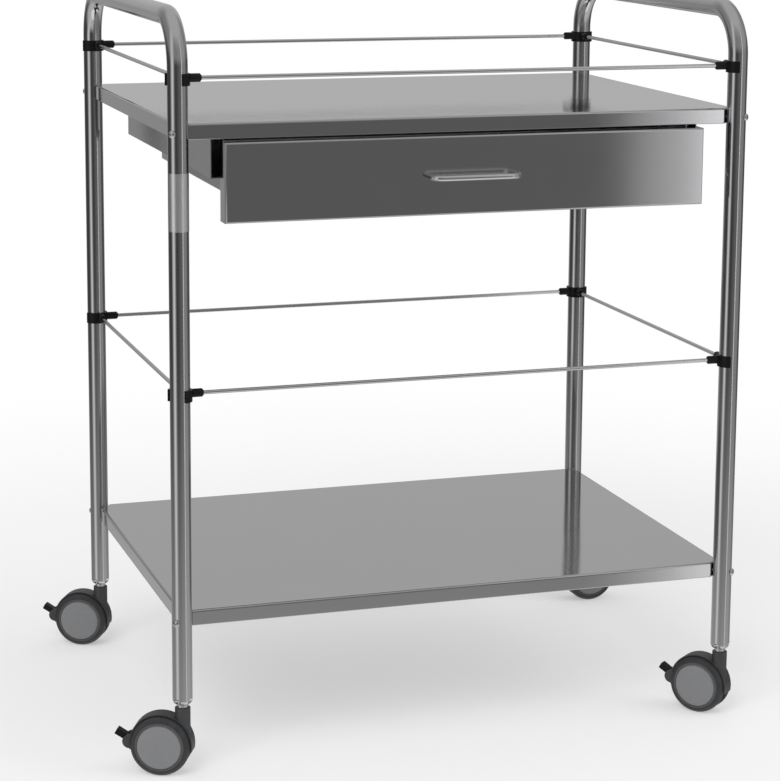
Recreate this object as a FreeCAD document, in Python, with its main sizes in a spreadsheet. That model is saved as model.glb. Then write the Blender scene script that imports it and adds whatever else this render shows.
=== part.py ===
import FreeCAD, Part
import math
import os
import Sketcher
from FreeCAD import Placement, Rotation, Vector

# Wheeled instrument table: two bent tube end frames joined by two folded steel shelves,
# two rod galleries on corner clips, a drawer on telescopic slides and four twin-wheel castors.
# Millimetres. Origin on the floor under the middle of the shelves, +X to the right,
# +Y to the back, +Z up. The drawer opens towards -Y.

SIZES = (
    ("tube_diameter", "25", "outside of the end frame tube"),
    ("tube_wall", "1.5", "wall of the end frame tube"),
    ("leg_spacing_length", "730", "between leg centres, left to right"),
    ("leg_spacing_depth", "519.5", "between leg centres, front to back"),
    ("bend_radius", "60", "centre line of the push handle bends"),
    ("bend_clear", "5.55", "top of the upper clips to where the bends begin"),
    ("nose_height", "9", "length of the closed-in leg end"),
    ("nose_shoulder", "2.7", "straight part of the leg end before it closes in"),
    ("nose_turn", "6.75", "leg end down to where it turns in more sharply"),
    ("nose_radius", "7.5", "tip of the closed-in leg end"),
    ("dimple_radius", "4.2", "pressed notch in the leg end"),
    ("dimple_stand", "0.1", "leg face to notch centre"),
    ("dimple_drop", "5.4", "leg end down to notch centre"),
    ("shelf_overhang", "1", "shelf ends beyond the leg centres"),
    ("shelf_setback", "3.5", "leg centres beyond the shelf's front and back"),
    ("shelf_edge", "20", "height of the turned-down shelf edge"),
    ("shelf_sheet", "1.2", "sheet thickness of the shelves"),
    ("shelf_lip", "12", "inward lip at the foot of the shelf edge"),
    ("shelf_rounding", "2", "outside radius of the shelf fold"),
    ("corner_gap", "0.1", "leg to corner flange"),
    ("top_shelf_height", "809.5", "floor to the upper face of the top shelf"),
    ("bottom_shelf_height", "207.5", "floor to the upper face of the bottom shelf"),
    ("shelf_screw_drop", "11", "shelf face down to its corner screws"),
    ("screw_diameter", "5", "corner screw shank"),
    ("screw_head_diameter", "9", "corner screw head"),
    ("screw_head_height", "3.2", "corner screw head"),
    ("screw_head_bevel", "1.5", "bevel round the corner screw head"),
    ("screw_tail", "1.5", "corner screw end beyond its nut"),
    ("screw_key_width", "3", "hexagon recess of the screws"),
    ("screw_key_depth", "1.8", "hexagon recess of the screws"),
    ("nut_width", "8", "across the flats of the corner nuts"),
    ("nut_height", "4", "thickness of the corner nuts"),
    ("hole_clearance", "0.2", "all round a screw in its hole"),
    ("cut_margin", "1.25", "how far a drill or cutter starts and ends clear of its work"),
    ("rod_diameter", "5", "gallery rods"),
    ("rod_inset", "3.4", "leg centre line to rod centre line"),
    ("upper_gallery_rise", "54.5", "top shelf to the upper gallery rods"),
    ("lower_gallery_rise", "274", "bottom shelf to the lower gallery rods"),
    ("clip_height", "14.5", "height of a clip's band"),
    ("clip_wall", "2.6", "thickness of a clip's band"),
    ("clip_wrap", "240", "angle that a clip's band wraps round the leg"),
    ("clip_socket_diameter", "10.5", "outside of a clip's rod socket"),
    ("clip_rim", "0.7", "clip band standing above its sockets"),
    ("clip_socket_reach", "29.7", "leg centre to the mouth of a socket"),
    ("clip_socket_depth", "14", "depth of a socket's bore"),
    ("clip_chamfer", "1.8", "bevel round the mouth of a socket"),
    ("clip_fit", "0.05", "all round a leg or a rod in its clip"),
    ("label_height", "70", "blank label on the front left leg"),
    ("label_wrap", "160", "angle that the label wraps round the leg"),
    ("label_turn", "195", "where the label begins round the leg"),
    ("label_drop", "58.1", "top shelf down to the upper edge of the label"),
    ("label_sheet", "0.2", "thickness of the label"),
    ("label_fit", "0.1", "adhesive under the label"),
    ("runner_case_inset", "46", "shelf end to the runner case's outer face"),
    ("runner_case_width", "15", "outside width of a runner case"),
    ("runner_case_setback", "18.25", "shelf front to the front end of a runner case"),
    ("runner_case_back_gap", "14.25", "back end of a runner case to the shelf back"),
    ("runner_case_height", "68.3", "height of a runner case under the shelf sheet"),
    ("runner_sheet", "1.2", "sheet thickness of the runner cases"),
    ("slide_height", "38", "height of a slide's outer rail"),
    ("slide_lift", "4", "underside of a runner case up to its slide"),
    ("slide_length", "400", "length of each slide rail"),
    ("slide_inset", "2", "runner case's front end to the closed slide"),
    ("slide_sheet", "1.2", "sheet thickness of the slide rails"),
    ("slide_width", "13", "runner case to drawer side"),
    ("slide_play", "0.4", "between neighbouring slide rails"),
    ("outer_rail_gap", "3.6", "lips of a slide's outer rail to the drawer"),
    ("middle_rail_gap", "2.8", "lips of a slide's middle rail to the drawer"),
    ("drawer_proud", "10", "closed drawer front beyond the shelf edge"),
    ("drawer_pull", "12", "how far the drawer stands open"),
    ("drawer_front_reveal", "8", "runner case beyond the end of the drawer front"),
    ("drawer_front_height", "97.3", "drawer front, foot to top"),
    ("drawer_front_gap", "2.2", "shelf edge to the top of the drawer front"),
    ("drawer_front_depth", "26", "thickness of the folded drawer front"),
    ("drawer_front_sheet", "1.2", "sheet thickness of the drawer front"),
    ("drawer_front_flange", "14", "inward flange on the back of the drawer front"),
    ("drawer_front_rounding", "1.5", "outside radius of the drawer front's folds"),
    ("drawer_box_gap", "9", "shelf edge to the top of the drawer box"),
    ("drawer_height", "66", "height of the drawer box"),
    ("drawer_length", "408", "length of the drawer box, front to back"),
    ("drawer_sheet", "1", "sheet thickness of the drawer box"),
    ("drawer_rim", "8", "outward bead folded along the drawer box's back"),
    ("drawer_rounding", "3", "fold radius along the drawer box's foot"),
    ("pull_span", "112", "between the feet of the drawer handle"),
    ("pull_reach", "25", "drawer front to the centre of the handle's bar"),
    ("pull_diameter", "7", "wire of the drawer handle"),
    ("pull_bend", "13", "centre line of the handle's bends"),
    ("pull_screw_diameter", "4", "handle screw shank"),
    ("pull_screw_head", "8", "handle screw head"),
    ("pull_screw_head_height", "2.4", "handle screw head"),
    ("pull_screw_bite", "9", "handle screw's grip in the wire"),
    ("wheel_diameter", "75", "castor wheel over its tyre"),
    ("wheel_width", "11.8", "castor tyre width"),
    ("wheel_shoulder", "3", "rounding of a tyre's outer edge"),
    ("shoulder_sag", "0.9", "middle of that rounding inside the square corner"),
    ("tyre_inner_bevel", "1.5", "bevel of a tyre's inner edge"),
    ("hub_diameter", "62.5", "castor wheel inside its tyre"),
    ("disc_diameter", "54.6", "raised cover disc of a castor wheel"),
    ("disc_rise", "1.6", "how far the cover disc stands out"),
    ("disc_bevel", "1", "bevel round the cover disc"),
    ("disc_dome", "1", "swell of the cover disc"),
    ("castor_trail", "26.5", "swivel axis to axle"),
    ("castor_web", "10", "middle web between a castor's wheels"),
    ("wheel_play", "0.5", "wheel to web"),
    ("hood_wall", "1.6", "castor hood over the wheels"),
    ("hood_play", "0.9", "castor hood to tyre"),
    ("hood_width", "19.4", "castor hood between and over the wheels"),
    ("hood_drop", "7", "axle to the hood's lower edge"),
    ("web_radius", "30", "round lower end of the web"),
    ("boss_diameter", "19.4", "castor boss round the swivel pin"),
    ("boss_rise", "8.5", "top of the castor hood to the top of the boss"),
    ("boss_bevel", "0.6", "bevel round the top of the boss"),
    ("boss_depth", "15", "swivel pin in the boss"),
    ("pin_diameter", "10", "castor swivel pin"),
    ("pin_collar_diameter", "14", "bright collar between leg and boss"),
    ("collar_height", "4.1", "bright collar between leg and boss"),
    ("collar_play", "0.4", "collar to the top of the boss"),
    ("pin_grip", "30", "swivel pin inside the leg"),
    ("running_fit", "0.05", "all round a pin in its bore"),
    ("axle_diameter", "6", "castor axle"),
    ("axle_length", "30", "castor axle"),
    ("pedal_turn", "4", "brake pedal's pivot above the axle, as an angle"),
    ("lug_radius", "8.5", "rounded lug that holds the brake pedal"),
    ("pedal_hub_radius", "5", "round root of the brake pedal"),
    ("pedal_width", "10", "width of the brake pedal"),
    ("pedal_length", "21", "pivot to the tip of the brake pedal"),
    ("pedal_thickness", "4", "plate of the brake pedal"),
    ("pedal_lip", "8", "upturned tip of the brake pedal"),
    ("pedal_rise", "30", "slope of the pedal above level"),
    ("pedal_pin_diameter", "3", "pivot of the brake pedal"),
    ("pedal_pin_inset", "1", "end of the pivot inside the lug's face"),
    ("pedal_play", "0.4", "pedal to its ears and to the hood"),
)

# Castors: which leg they stand under and the way their wheels trail, counted from +X.
CASTORS = (
    ("front_left", -1, -1, 154),
    ("back_left", -1, 1, 151),
    ("front_right", 1, -1, 130),
    ("back_right", 1, 1, 0),
)
CORNERS = (("front_left", -1, -1, 0), ("front_right", 1, -1, 90), ("back_right", 1, 1, 180),
           ("back_left", -1, 1, 270))
TILT_Y_TO_Z = Rotation(Vector(1, 0, 0), 90)
ALONG_X = Rotation(Vector(0, 1, 0), 90)
ALONG_BACK = Rotation(Vector(1, 0, 0), -90)
TOUCH = 0.01
DIAGONAL = 0.707107
HEXAGON = 1.732051

doc = FreeCAD.newDocument("instrument_table")
sheet = doc.addObject("Spreadsheet::Sheet", "Sheet")
for row, (alias, value, note) in enumerate(SIZES, 1):
    sheet.set(f"A{row}", alias)
    sheet.set(f"B{row}", value)
    sheet.set(f"C{row}", note)
    sheet.setAlias(f"B{row}", alias)
doc.recompute()
nodes = []


def size(expression):
    """Number that an expression on the sheet gives."""
    value = sheet.evalExpression(expression)
    return float(getattr(value, "Value", value))


def bind(target, **expressions):
    """Tie properties to the sheet; a double underscore stands for a dot."""
    for name, expression in expressions.items():
        target.setExpression(name.replace("__", "."), expression)


def place(target, x="0", y="0", z="0", turn=None):
    """Put an object at named distances, turned by a fixed rotation."""
    if turn is not None:
        target.Placement = Placement(Vector(), turn)
    for axis, expression in zip("xyz", (x, y, z)):
        if expression != "0":
            target.setExpression(f"Placement.Base.{axis}", expression)
    return target


def node(target, label):
    """Count an object as one sub-part under its own name."""
    target.Label = label
    nodes.append(target)
    return target


def box(name, length, width, height, x="0", y="0", z="0", turn=None):
    solid = doc.addObject("Part::Box", name)
    bind(solid, Length=length, Width=width, Height=height)
    return place(solid, x, y, z, turn)


def cylinder(name, radius, height, x="0", y="0", z="0", turn=None):
    solid = doc.addObject("Part::Cylinder", name)
    bind(solid, Radius=radius, Height=height)
    return place(solid, x, y, z, turn)


def fuse(name, shapes):
    joined = doc.addObject("Part::MultiFuse", name)
    joined.Shapes = shapes
    return joined


def cut(name, base, tool):
    result = doc.addObject("Part::Cut", name)
    result.Base = base
    result.Tool = tool
    return result


def cut_all(name, base, tools):
    return cut(name, base, fuse(name + "_tools", tools))


def group(name, shapes):
    bundle = doc.addObject("Part::Compound", name)
    bundle.Links = shapes
    return bundle


def round_edges(name, base, radius, chosen):
    """Round the edges of base that chosen() picks by the named radius."""
    doc.recompute()
    rounded = doc.addObject("Part::Fillet", name)
    rounded.Base = base
    amount = size(radius)
    rounded.Edges = [(number, amount, amount)
                     for number, edge in enumerate(base.Shape.Edges, 1) if chosen(edge)]
    return rounded


def origin_plane(body, role):
    return next(item for item in body.Origin.OriginFeatures if item.Role == role)


def sketch_on(body, role, name, along="0", up="0", out="0"):
    """Sketch on a plane of its own body, its origin moved by named distances."""
    sketch = body.newObject("Sketcher::SketchObject", name)
    sketch.AttachmentSupport = [(origin_plane(body, role), "")]
    sketch.MapMode = "FlatFace"
    bind(sketch, AttachmentOffset__Base__x=along, AttachmentOffset__Base__y=up,
         AttachmentOffset__Base__z=out)
    return sketch


def pin_point(sketch, geometry, end, x, y):
    """Hold one point of a sketch at named distances from the sketch's origin."""
    for kind, expression in (("DistanceX", x), ("DistanceY", y)):
        value = size(expression)
        index = sketch.addConstraint(Sketcher.Constraint(kind, -1, 1, geometry, end, value))
        sketch.setExpression(f"Constraints[{index}]", expression)


def outline(sketch, points):
    """Closed outline of straight sides through named corners."""
    first = sketch.GeometryCount
    values = [Vector(size(x), size(y), 0) for x, y in points]
    for index, start in enumerate(values):
        sketch.addGeometry(Part.LineSegment(start, values[(index + 1) % len(values)]), False)
    for index, (x, y) in enumerate(points):
        following = first + (index + 1) % len(points)
        sketch.addConstraint(Sketcher.Constraint("Coincident", first + index, 2, following, 1))
        pin_point(sketch, first + index, 1, x, y)
    return sketch


def circle(sketch, radius, x="0", y="0"):
    geometry = sketch.addGeometry(Part.Circle(Vector(size(x), size(y), 0), Vector(0, 0, 1),
                                              size(radius)), False)
    pin_point(sketch, geometry, 3, x, y)
    index = sketch.addConstraint(Sketcher.Constraint("Radius", geometry, size(radius)))
    sketch.setExpression(f"Constraints[{index}]", radius)
    return sketch


def revolve(body, sketch, name, axis="V_Axis"):
    feature = body.newObject("PartDesign::Revolution", name)
    feature.Profile = sketch
    feature.ReferenceAxis = (sketch, [axis])
    feature.Angle = 360
    return feature


def pad(body, sketch, name, length, both=False, back=False):
    feature = body.newObject("PartDesign::Pad", name)
    feature.Profile = sketch
    bind(feature, Length=length)
    feature.Midplane = both
    feature.Reversed = back
    return feature


def bent_path(sketch, reach, top, radius, foot):
    """Upside-down U: two legs and a bar with a round bend at each end."""
    left, right, high, bend, low = -size(reach), size(reach), size(top), size(radius), size(foot)
    up, flat, down = (
        (Vector(left, low, 0), Vector(left, high - bend, 0)),
        (Vector(left + bend, high, 0), Vector(right - bend, high, 0)),
        (Vector(right, high - bend, 0), Vector(right, low, 0)))
    for start, end in (up, flat, down):
        sketch.addGeometry(Part.LineSegment(start, end), False)
    quarter = math.pi / 2
    for centre_x, start_angle in ((left + bend, quarter), (right - bend, 0)):
        full = Part.Circle(Vector(centre_x, high - bend, 0), Vector(0, 0, 1), bend)
        sketch.addGeometry(Part.ArcOfCircle(full, start_angle, start_angle + quarter), False)
    for constraint in (("Tangent", 0, 2, 3, 2), ("Tangent", 3, 1, 1, 1),
                       ("Tangent", 1, 2, 4, 2), ("Tangent", 4, 1, 2, 1),
                       ("Vertical", 0), ("Vertical", 2), ("Horizontal", 1)):
        sketch.addConstraint(Sketcher.Constraint(*constraint))
    pin_point(sketch, 0, 1, f"-({reach})", foot)
    pin_point(sketch, 2, 2, reach, foot)
    for geometry in (3, 4):
        index = sketch.addConstraint(Sketcher.Constraint("Radius", geometry, bend))
        sketch.setExpression(f"Constraints[{index}]", radius)
    index = sketch.addConstraint(Sketcher.Constraint("DistanceY", -1, 1, 1, 1, high))
    sketch.setExpression(f"Constraints[{index}]", top)
    return sketch


LEG_X = "Sheet.leg_spacing_length / 2"
LEG_Y = "Sheet.leg_spacing_depth / 2"
TUBE_RADIUS = "Sheet.tube_diameter / 2"
TUBE_BORE = f"{TUBE_RADIUS} - Sheet.tube_wall"
DIMPLE_REACH = f"({TUBE_RADIUS} + Sheet.dimple_stand)"
PIN_HOLE = "Sheet.pin_diameter / 2 + Sheet.running_fit"
SCREW_HOLE = "Sheet.screw_diameter / 2 + Sheet.hole_clearance"
SCREW_DROPS = ("Sheet.top_shelf_height - Sheet.shelf_screw_drop",
               "Sheet.bottom_shelf_height - Sheet.shelf_screw_drop")
SHELF_HALF_X = f"({LEG_X} + Sheet.shelf_overhang)"
SHELF_HALF_Y = f"({LEG_Y} - Sheet.shelf_setback)"
AXLE_HEIGHT = "Sheet.wheel_diameter / 2"
WELL_RADIUS = f"({AXLE_HEIGHT} + Sheet.hood_play)"
HOOD_RADIUS = f"({WELL_RADIUS} + Sheet.hood_wall)"
BOSS_TOP = f"({AXLE_HEIGHT} + {HOOD_RADIUS} + Sheet.boss_rise)"
LEG_TIP = f"({BOSS_TOP} + Sheet.collar_play + Sheet.collar_height)"
LEG_END = f"({LEG_TIP} + Sheet.nose_height)"
GALLERY_HEIGHTS = {"upper": "(Sheet.top_shelf_height + Sheet.upper_gallery_rise)",
                   "lower": "(Sheet.bottom_shelf_height + Sheet.lower_gallery_rise)"}
CLIP_TOP = "(Sheet.clip_socket_diameter / 2 + Sheet.clip_rim)"
HANDLE_HEIGHT = (f"({GALLERY_HEIGHTS['upper']} + {CLIP_TOP} + Sheet.bend_clear"
                 " + Sheet.bend_radius)")


def end_frame(label, side, turn):
    """One bent tube: two legs and the push handle between them, ends closed in and notched."""
    body = doc.addObject("PartDesign::Body", label)
    path = bent_path(sketch_on(body, "YZ_Plane", label + "_path"), LEG_Y,
                     HANDLE_HEIGHT, "Sheet.bend_radius", LEG_END)
    section = sketch_on(body, "XY_Plane", label + "_section", out=LEG_END)
    circle(section, TUBE_RADIUS, y=f"-{LEG_Y}")
    circle(section, TUBE_BORE, y=f"-{LEG_Y}")
    doc.recompute()
    tube = body.newObject("PartDesign::AdditivePipe", label + "_tube")
    tube.Profile = section
    tube.Spine = (path, ["Edge1", "Edge4", "Edge2", "Edge5", "Edge3"])
    doc.recompute()
    for end, sign in (("front", "-"), ("back", "")):
        axis_y = f"{sign}{LEG_Y}"
        nose = sketch_on(body, "YZ_Plane", f"{label}_{end}_nose_outline", along=axis_y,
                         up=LEG_END)
        outline(nose, ((TUBE_BORE, "Sheet.tube_wall"), (TUBE_BORE, "0"), (TUBE_RADIUS, "0"),
                       (TUBE_RADIUS, "-Sheet.nose_shoulder"),
                       (f"({TUBE_RADIUS} + Sheet.nose_radius) / 2", "-Sheet.nose_turn"),
                       ("Sheet.nose_radius", "-Sheet.nose_height"),
                       (PIN_HOLE, "-Sheet.nose_height"), (PIN_HOLE, "Sheet.tube_wall")))
        revolve(body, nose, f"{label}_{end}_nose")
        doc.recompute()
        for number in range(4):
            angle = math.radians(45 + 90 * number)
            notch = body.newObject("PartDesign::SubtractiveSphere", f"{label}_{end}_notch_{number}")
            notch.AttachmentSupport = [(origin_plane(body, "XY_Plane"), "")]
            notch.MapMode = "FlatFace"
            bind(notch, Radius="Sheet.dimple_radius",
                 AttachmentOffset__Base__x=f"{DIMPLE_REACH} * {math.cos(angle):.6f}",
                 AttachmentOffset__Base__y=f"{axis_y} + {DIMPLE_REACH} * {math.sin(angle):.6f}",
                 AttachmentOffset__Base__z=f"{LEG_END} - Sheet.dimple_drop")
        for number, height in enumerate(SCREW_DROPS):
            hole = body.newObject("PartDesign::SubtractiveCylinder", f"{label}_{end}_hole_{number}")
            hole.AttachmentSupport = [(origin_plane(body, "XY_Plane"), "")]
            hole.MapMode = "FlatFace"
            outward = Vector(-1, -1 if end == "front" else 1, 0)
            hole.AttachmentOffset = Placement(Vector(), Rotation(Vector(0, 0, 1), outward))
            reach = f"{DIAGONAL} * ({TUBE_RADIUS} + Sheet.cut_margin)"
            bind(hole, Radius=SCREW_HOLE, Height=f"2 * ({TUBE_RADIUS} + Sheet.cut_margin)",
                 AttachmentOffset__Base__x=reach,
                 AttachmentOffset__Base__y=f"{axis_y} {'+' if end == 'front' else '-'} {reach}",
                 AttachmentOffset__Base__z=height)
    body.Placement = Placement(Vector(), Rotation(Vector(0, 0, 1), turn))
    bind(body, Placement__Base__x=f"{side}{LEG_X}")
    return node(body, label)


def shelf_outline(sketch, inset):
    """Rectangle with its corners cut across, drawn in by a named inset."""
    half_x = f"({SHELF_HALF_X} - {inset})"
    half_y = f"({SHELF_HALF_Y} - {inset})"
    line = (f"({LEG_X} + {LEG_Y} - ({TUBE_RADIUS} + Sheet.corner_gap + {inset}) / {DIAGONAL})")
    near_x = f"({line} - {half_y})"
    near_y = f"({line} - {half_x})"
    corners = ((near_x, f"-{half_y}"), (half_x, f"-{near_y}"), (half_x, near_y),
               (near_x, half_y), (f"-{near_x}", half_y), (f"-{half_x}", near_y),
               (f"-{half_x}", f"-{near_y}"), (f"-{near_x}", f"-{half_y}"))
    return outline(sketch, corners)


def shelf(label, height):
    """Folded steel tray turned upside down, open below, with screw holes in its corner flanges."""
    body = doc.addObject("PartDesign::Body", label)
    plate = shelf_outline(sketch_on(body, "XY_Plane", label + "_outline"), "0")
    pad(body, plate, label + "_plate", "Sheet.shelf_edge", back=True)
    doc.recompute()
    block = body.Tip
    fold = body.newObject("PartDesign::Fillet", label + "_fold")
    top_edges = [f"Edge{number}" for number, edge in enumerate(block.Shape.Edges, 1)
                 if edge.BoundBox.ZMin > -TOUCH]
    fold.Base = (block, top_edges)
    bind(fold, Radius="Sheet.shelf_rounding")
    doc.recompute()
    for name, inset, start, depth in (
            ("inside", "Sheet.shelf_sheet", "-(Sheet.shelf_edge - Sheet.shelf_sheet)",
             "Sheet.shelf_edge - 2 * Sheet.shelf_sheet"),
            ("mouth", "Sheet.shelf_lip", "-Sheet.shelf_edge", "Sheet.shelf_sheet * 2")):
        hollow = shelf_outline(sketch_on(body, "XY_Plane", f"{label}_{name}_outline", out=start),
                               inset)
        pocket = body.newObject("PartDesign::Pocket", f"{label}_{name}")
        pocket.Profile = hollow
        pocket.Reversed = True
        bind(pocket, Length=depth)
        doc.recompute()
    for corner, x_side, y_side, _turn in CORNERS:
        hole = body.newObject("PartDesign::SubtractiveCylinder", f"{label}_{corner}_hole")
        hole.AttachmentSupport = [(origin_plane(body, "XY_Plane"), "")]
        hole.MapMode = "FlatFace"
        outward = Vector(x_side, y_side, 0)
        hole.AttachmentOffset = Placement(Vector(), Rotation(Vector(0, 0, 1), outward))
        flange = "Sheet.corner_gap + Sheet.shelf_sheet"
        reach = f"{DIAGONAL} * ({TUBE_RADIUS} + {flange} + Sheet.cut_margin)"
        bind(hole, Radius=SCREW_HOLE, Height=f"{flange} + 2 * Sheet.cut_margin",
             AttachmentOffset__Base__x=f"{x_side} * ({LEG_X} - {reach})",
             AttachmentOffset__Base__y=f"{y_side} * ({LEG_Y} - {reach})",
             AttachmentOffset__Base__z="-Sheet.shelf_screw_drop")
    bind(body, Placement__Base__z=height)
    return node(body, label)


def corner_screw(name):
    """Round-headed screw with a hexagon recess, its head outside the leg, along local -Z."""
    body = doc.addObject("PartDesign::Body", name)
    shank = (f"-(2 * {TUBE_RADIUS} + Sheet.corner_gap + Sheet.shelf_sheet + Sheet.nut_height"
             " + Sheet.screw_tail)")
    profile = outline(sketch_on(body, "XZ_Plane", name + "_outline"), (
        ("0", shank), ("Sheet.screw_diameter / 2", shank), ("Sheet.screw_diameter / 2", "0"),
        ("Sheet.screw_head_diameter / 2", "0"),
        ("Sheet.screw_head_diameter / 2", "Sheet.screw_head_height - Sheet.screw_head_bevel"),
        ("Sheet.screw_head_diameter / 2 - Sheet.screw_head_bevel", "Sheet.screw_head_height"),
        ("0", "Sheet.screw_head_height")))
    revolve(body, profile, name + "_turned")
    doc.recompute()
    key = sketch_on(body, "XY_Plane", name + "_key_outline", out="Sheet.screw_head_height")
    corner = f"Sheet.screw_key_width / {HEXAGON}"
    outline(key, [(f"{corner} * {math.cos(math.radians(60 * k)):.6f}",
                   f"{corner} * {math.sin(math.radians(60 * k)):.6f}") for k in range(6)])
    pocket = body.newObject("PartDesign::Pocket", name + "_key")
    pocket.Profile = key
    bind(pocket, Length="Sheet.screw_key_depth")
    return body


def corner_nut(name):
    body = doc.addObject("PartDesign::Body", name)
    face = sketch_on(body, "XY_Plane", name + "_outline")
    corner = f"Sheet.nut_width / {HEXAGON}"
    outline(face, [(f"{corner} * {math.cos(math.radians(60 * k)):.6f}",
                    f"{corner} * {math.sin(math.radians(60 * k)):.6f}") for k in range(6)])
    circle(face, "Sheet.screw_diameter / 2 + Sheet.running_fit")
    pad(body, face, name + "_block", "Sheet.nut_height", back=True)
    return body


def corner_fasteners():
    """Screws through the legs into the shelves' corner flanges, and the nuts behind them."""
    screws, nuts = [], []
    for level, height in zip(("top", "bottom"), SCREW_DROPS):
        for corner, x_side, y_side, _turn in CORNERS:
            outward = Rotation(Vector(0, 0, 1), Vector(x_side, y_side, 0))
            seat = f"{DIAGONAL} * {TUBE_RADIUS}"
            behind = f"{DIAGONAL} * ({TUBE_RADIUS} + Sheet.corner_gap + Sheet.shelf_sheet)"
            screw = corner_screw(f"screw_{level}_{corner}")
            nut = corner_nut(f"nut_{level}_{corner}")
            place(screw, f"{x_side} * ({LEG_X} + {seat})", f"{y_side} * ({LEG_Y} + {seat})",
                  height, outward)
            place(nut, f"{x_side} * ({LEG_X} - {behind})", f"{y_side} * ({LEG_Y} - {behind})",
                  height, outward)
            screws.append(screw)
            nuts.append(nut)
    node(group("shelf_screws_group", screws), "shelf_screws")
    node(group("shelf_nuts_group", nuts), "shelf_nuts")


def gallery_clip(name):
    """Snap-on clip: open band round the leg with two rod sockets at a right angle."""
    foot = f"{CLIP_TOP} - Sheet.clip_height"
    band = cylinder(name + "_band", f"{TUBE_RADIUS} + Sheet.clip_wall", "Sheet.clip_height",
                    z=foot)
    sockets, bores = [], []
    for way, turn, x, y in (("x", ALONG_X, "0", "Sheet.rod_inset"),
                            ("y", ALONG_BACK, "Sheet.rod_inset", "0")):
        radius = "Sheet.clip_socket_diameter / 2"
        neck = "Sheet.clip_socket_reach - Sheet.clip_chamfer"
        root = f"({TUBE_RADIUS} - Sheet.clip_wall)"
        sockets.append(cylinder(f"{name}_{way}_socket", radius, f"{neck} - {root}",
                                root if way == "x" else x, root if way == "y" else y,
                                turn=turn))
        tip = doc.addObject("Part::Cone", f"{name}_{way}_tip")
        bind(tip, Radius1=radius, Radius2=f"{radius} - Sheet.clip_chamfer",
             Height="Sheet.clip_chamfer")
        place(tip, neck if way == "x" else x, neck if way == "y" else y, turn=turn)
        sockets.append(tip)
        start = "Sheet.clip_socket_reach - Sheet.clip_socket_depth"
        bores.append(cylinder(f"{name}_{way}_bore", "Sheet.rod_diameter / 2 + Sheet.clip_fit",
                              "Sheet.clip_socket_depth + Sheet.cut_margin",
                              start if way == "x" else x, start if way == "y" else y,
                              turn=turn))
    leg = cylinder(name + "_leg", f"{TUBE_RADIUS} + Sheet.clip_fit", "Sheet.clip_height * 2",
                   z="-Sheet.clip_height")
    mouth = doc.addObject("Part::Cylinder", name + "_mouth")
    bind(mouth, Radius="Sheet.tube_diameter * 2", Height="Sheet.clip_height * 2",
         Angle="360 - Sheet.clip_wrap")
    mouth.Placement = Placement(Vector(), Rotation(Vector(0, 0, 1), 0))
    bind(mouth, Placement__Base__z="-Sheet.clip_height",
         Placement__Rotation__Angle="45 + Sheet.clip_wrap / 2")
    return cut_all(name, fuse(name + "_solid", [band] + sockets), bores + [leg, mouth])


def galleries():
    """Clips on the legs at two heights and the rods between them."""
    for level in ("upper", "lower"):
        height = GALLERY_HEIGHTS[level]
        clips = []
        for corner, x_side, y_side, turn in CORNERS:
            clip = gallery_clip(f"{level}_{corner}_clip")
            place(clip, f"{x_side} * {LEG_X}", f"{y_side} * {LEG_Y}", height,
                  Rotation(Vector(0, 0, 1), turn))
            clips.append(clip)
        node(group(f"{level}_clips", clips), f"{level}_gallery_clips")
        rod = "Sheet.rod_diameter / 2"
        end = "(Sheet.clip_socket_reach - Sheet.clip_socket_depth + Sheet.clip_fit)"
        for side, sign in (("front", "-"), ("back", "")):
            name = f"{level}_{side}_rod"
            node(cylinder(name, rod, f"2 * ({LEG_X} - {end})", f"-({LEG_X} - {end})",
                          f"{sign}({LEG_Y} - Sheet.rod_inset)", height, ALONG_X), name)
        for side, sign in (("left", "-"), ("right", "")):
            name = f"{level}_{side}_rod"
            node(cylinder(name, rod, f"2 * ({LEG_Y} - {end})",
                          f"{sign}({LEG_X} - Sheet.rod_inset)", f"-({LEG_Y} - {end})",
                          height, ALONG_BACK), name)


def leg_label():
    """Blank label wrapped part of the way round the front left leg."""
    sleeve = doc.addObject("Part::Cylinder", "label_sleeve")
    core = doc.addObject("Part::Cylinder", "label_core")
    bind(sleeve, Radius=f"{TUBE_RADIUS} + Sheet.label_fit + Sheet.label_sheet",
         Height="Sheet.label_height", Angle="Sheet.label_wrap")
    bind(core, Radius=f"{TUBE_RADIUS} + Sheet.label_fit", Height="Sheet.label_height",
         Angle="Sheet.label_wrap")
    label = cut("leg_label", sleeve, core)
    label.Placement = Placement(Vector(), Rotation(Vector(0, 0, 1), 0))
    bind(label, Placement__Base__x=f"-{LEG_X}", Placement__Base__y=f"-{LEG_Y}",
         Placement__Base__z="Sheet.top_shelf_height - Sheet.label_drop - Sheet.label_height",
         Placement__Rotation__Angle="Sheet.label_turn")
    node(label, "leg_label")


def channel(body, name, length, outer, height, depth, sheet_size, foot, front, opens):
    """Rail of C section along Y: web at x = outer, flanges reaching by depth the way it opens."""
    sketch = sketch_on(body, "XZ_Plane", name + "_outline", out=front)
    reach = f"({outer} + {opens} * ({depth}))"
    web = f"({outer} + {opens} * {sheet_size})"
    top = f"({foot} + {height})"
    outline(sketch, ((outer, foot), (reach, foot), (reach, f"{foot} + {sheet_size}"),
                     (web, f"{foot} + {sheet_size}"), (web, f"{top} - {sheet_size}"),
                     (reach, f"{top} - {sheet_size}"), (reach, top), (outer, top)))
    return pad(body, sketch, name + "_rail", length)


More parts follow.
